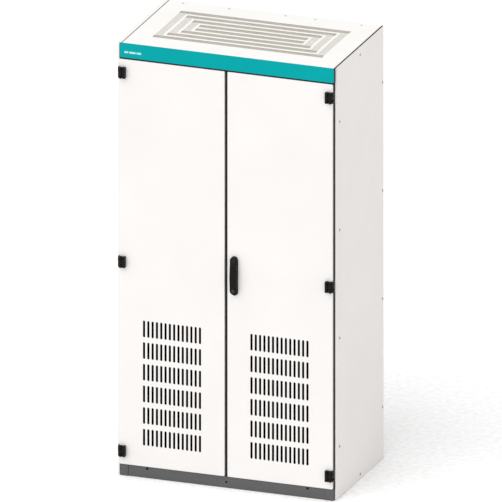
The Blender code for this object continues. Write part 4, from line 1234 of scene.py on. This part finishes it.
def build_cables():
    """Power cables from the switch to the contactor, on to the converter, and up from the reactor."""
    bm = bmesh.new()
    switch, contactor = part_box("main_switch")[0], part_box("line_contactor")[0]
    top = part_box("line_contactor")[1].z
    for index in range(3):
        x, pole = switch.x + 0.038 + 0.052 * index, contactor.x + 0.02 + 0.04 * index
        y, drop, lift = 0.2 - 0.016 * index, 0.04 + 0.008 * (2 - index), 0.012 * (2 - index)
        tube(bm, [(x, y, switch.z + 0.004), (x, y, switch.z - drop * 0.6),
                  (x + 0.03, y, switch.z - drop), (pole - 0.03, y, switch.z - drop),
                  (pole, y, switch.z - drop * 0.5), (pole, y, contactor.z + 0.004)], CABLE_RADIUS)
        tube(bm, [(pole, y, top - 0.004), (pole, y, top + 0.024 + lift),
                  (pole + 0.028, y, top + 0.052 + lift), (-0.022, y, top + 0.02 + lift),
                  (-0.012, y, top - 0.02), (0.004, y, top - 0.034 - 0.018 * index)], CABLE_RADIUS)
    for shift, name in enumerate(COIL_NAMES):
        low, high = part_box("reactor_coil_" + name)
        x, y = high.x - 0.03, low.y + 0.0185
        tube(bm, [(x, y, high.z + 0.016), (x, y, high.z + 0.07),
                  (x + 0.03, y + 0.02, high.z + 0.12 + 0.02 * (2 - shift)),
                  (-0.03 + 0.012 * shift, 0.02 * shift, 0.5), (0.04 + 0.018 * shift, 0.04, 0.585),
                  (0.046 + 0.018 * shift, 0.06, 0.644)], CABLE_RADIUS)
    finish("power_cables", bm, "cable")


NODE_LOOKS = {
    "galvanised": ["bottom_frame", "top_frame", "floor_plate_front", "floor_plate_rear", "lock_case",
                   "mounting_plate", "drive_chassis"],
    "zinc": ["lock_pinion", "upper_rod", "lower_rod"],
    "copper": ["earth_bar"],
    "heat_sink": ["heat_sink"],
    "capacitor": ["capacitor_bank"],
    "fan": ["fan_housing", "fan_impeller"],
    "core": ["reactor_core"],
    "red": ["main_switch_handle"],
    "plinth": ["plinth_left", "plinth_right"],
}


def dress_nodes():
    """The cabinet's own solids that stay in view take a finish and a small rounding."""
    for look, names in NODE_LOOKS.items():
        for name in names:
            node = frame["nodes"][name]
            node.data.materials.clear()
            node.data.materials.append(LOOKS[look])
            round_edges(node, 0.0007)


def build_equipment():
    for corner in ("front_left", "front_right", "rear_left", "rear_right"):
        build_post("post_" + corner)
    for build in (build_plate_fittings, build_drive_cover, build_main_switch, build_contactor,
                  build_control_unit, build_terminals, build_reactor, build_cables, dress_nodes):
        build()


# ---------------------------------------------------------------- studio
def build_studio():
    floor = bmesh.new()
    reach = 60.0
    corners = ((-reach, -reach), (reach, -reach), (reach, reach), (-reach, reach))
    floor.faces.new([floor.verts.new((x, y, 0.0)) for x, y in corners])
    mesh = mesh_of("studio_floor", floor)
    mesh.materials.append(LOOKS["floor"])
    made = placed("studio_floor", mesh)


def build_light():
    world = bpy.data.worlds.new("studio")
    world.use_nodes = True
    background = world.node_tree.nodes["Background"]
    background.inputs["Color"].default_value = (1.0, 1.0, 1.0, 1.0)
    background.inputs["Strength"].default_value = 0.9
    bpy.context.scene.world = world
    key = bpy.data.lights.new("key", "SUN")
    key.energy = 1.5
    key.angle = radians(60)
    made = placed("key", key)
    made.rotation_mode = "QUATERNION"
    made.rotation_quaternion = Vector((-0.3, -0.62, 0.72)).to_track_quat("Z", "Y")


def build_camera():
    data = bpy.data.cameras.new("camera")
    data.type = "ORTHO"
    data.ortho_scale = PICTURE_WIDTH
    data.clip_start = 0.1
    data.clip_end = 5 * VIEW_DISTANCE
    back = Vector((sin(VIEW_AZIMUTH) * cos(VIEW_ELEVATION),
                   -cos(VIEW_AZIMUTH) * cos(VIEW_ELEVATION), sin(VIEW_ELEVATION)))
    camera = placed("camera", data)
    camera.location = Vector(VIEW_TARGET) + back * VIEW_DISTANCE
    camera.rotation_mode = "QUATERNION"
    camera.rotation_quaternion = (-back).to_track_quat("-Z", "Y")
    bpy.context.scene.camera = camera
    bpy.context.scene.view_settings.view_transform = "Standard"


def main():
    build_camera()
    build_light()
    build_studio()
    build_side_panel("left")
    build_side_panel("right")
    for build in (build_rear_panel, build_roof, build_header, build_plinth, build_doors, build_hinges,
                  build_handle, build_equipment):
        build()


main()
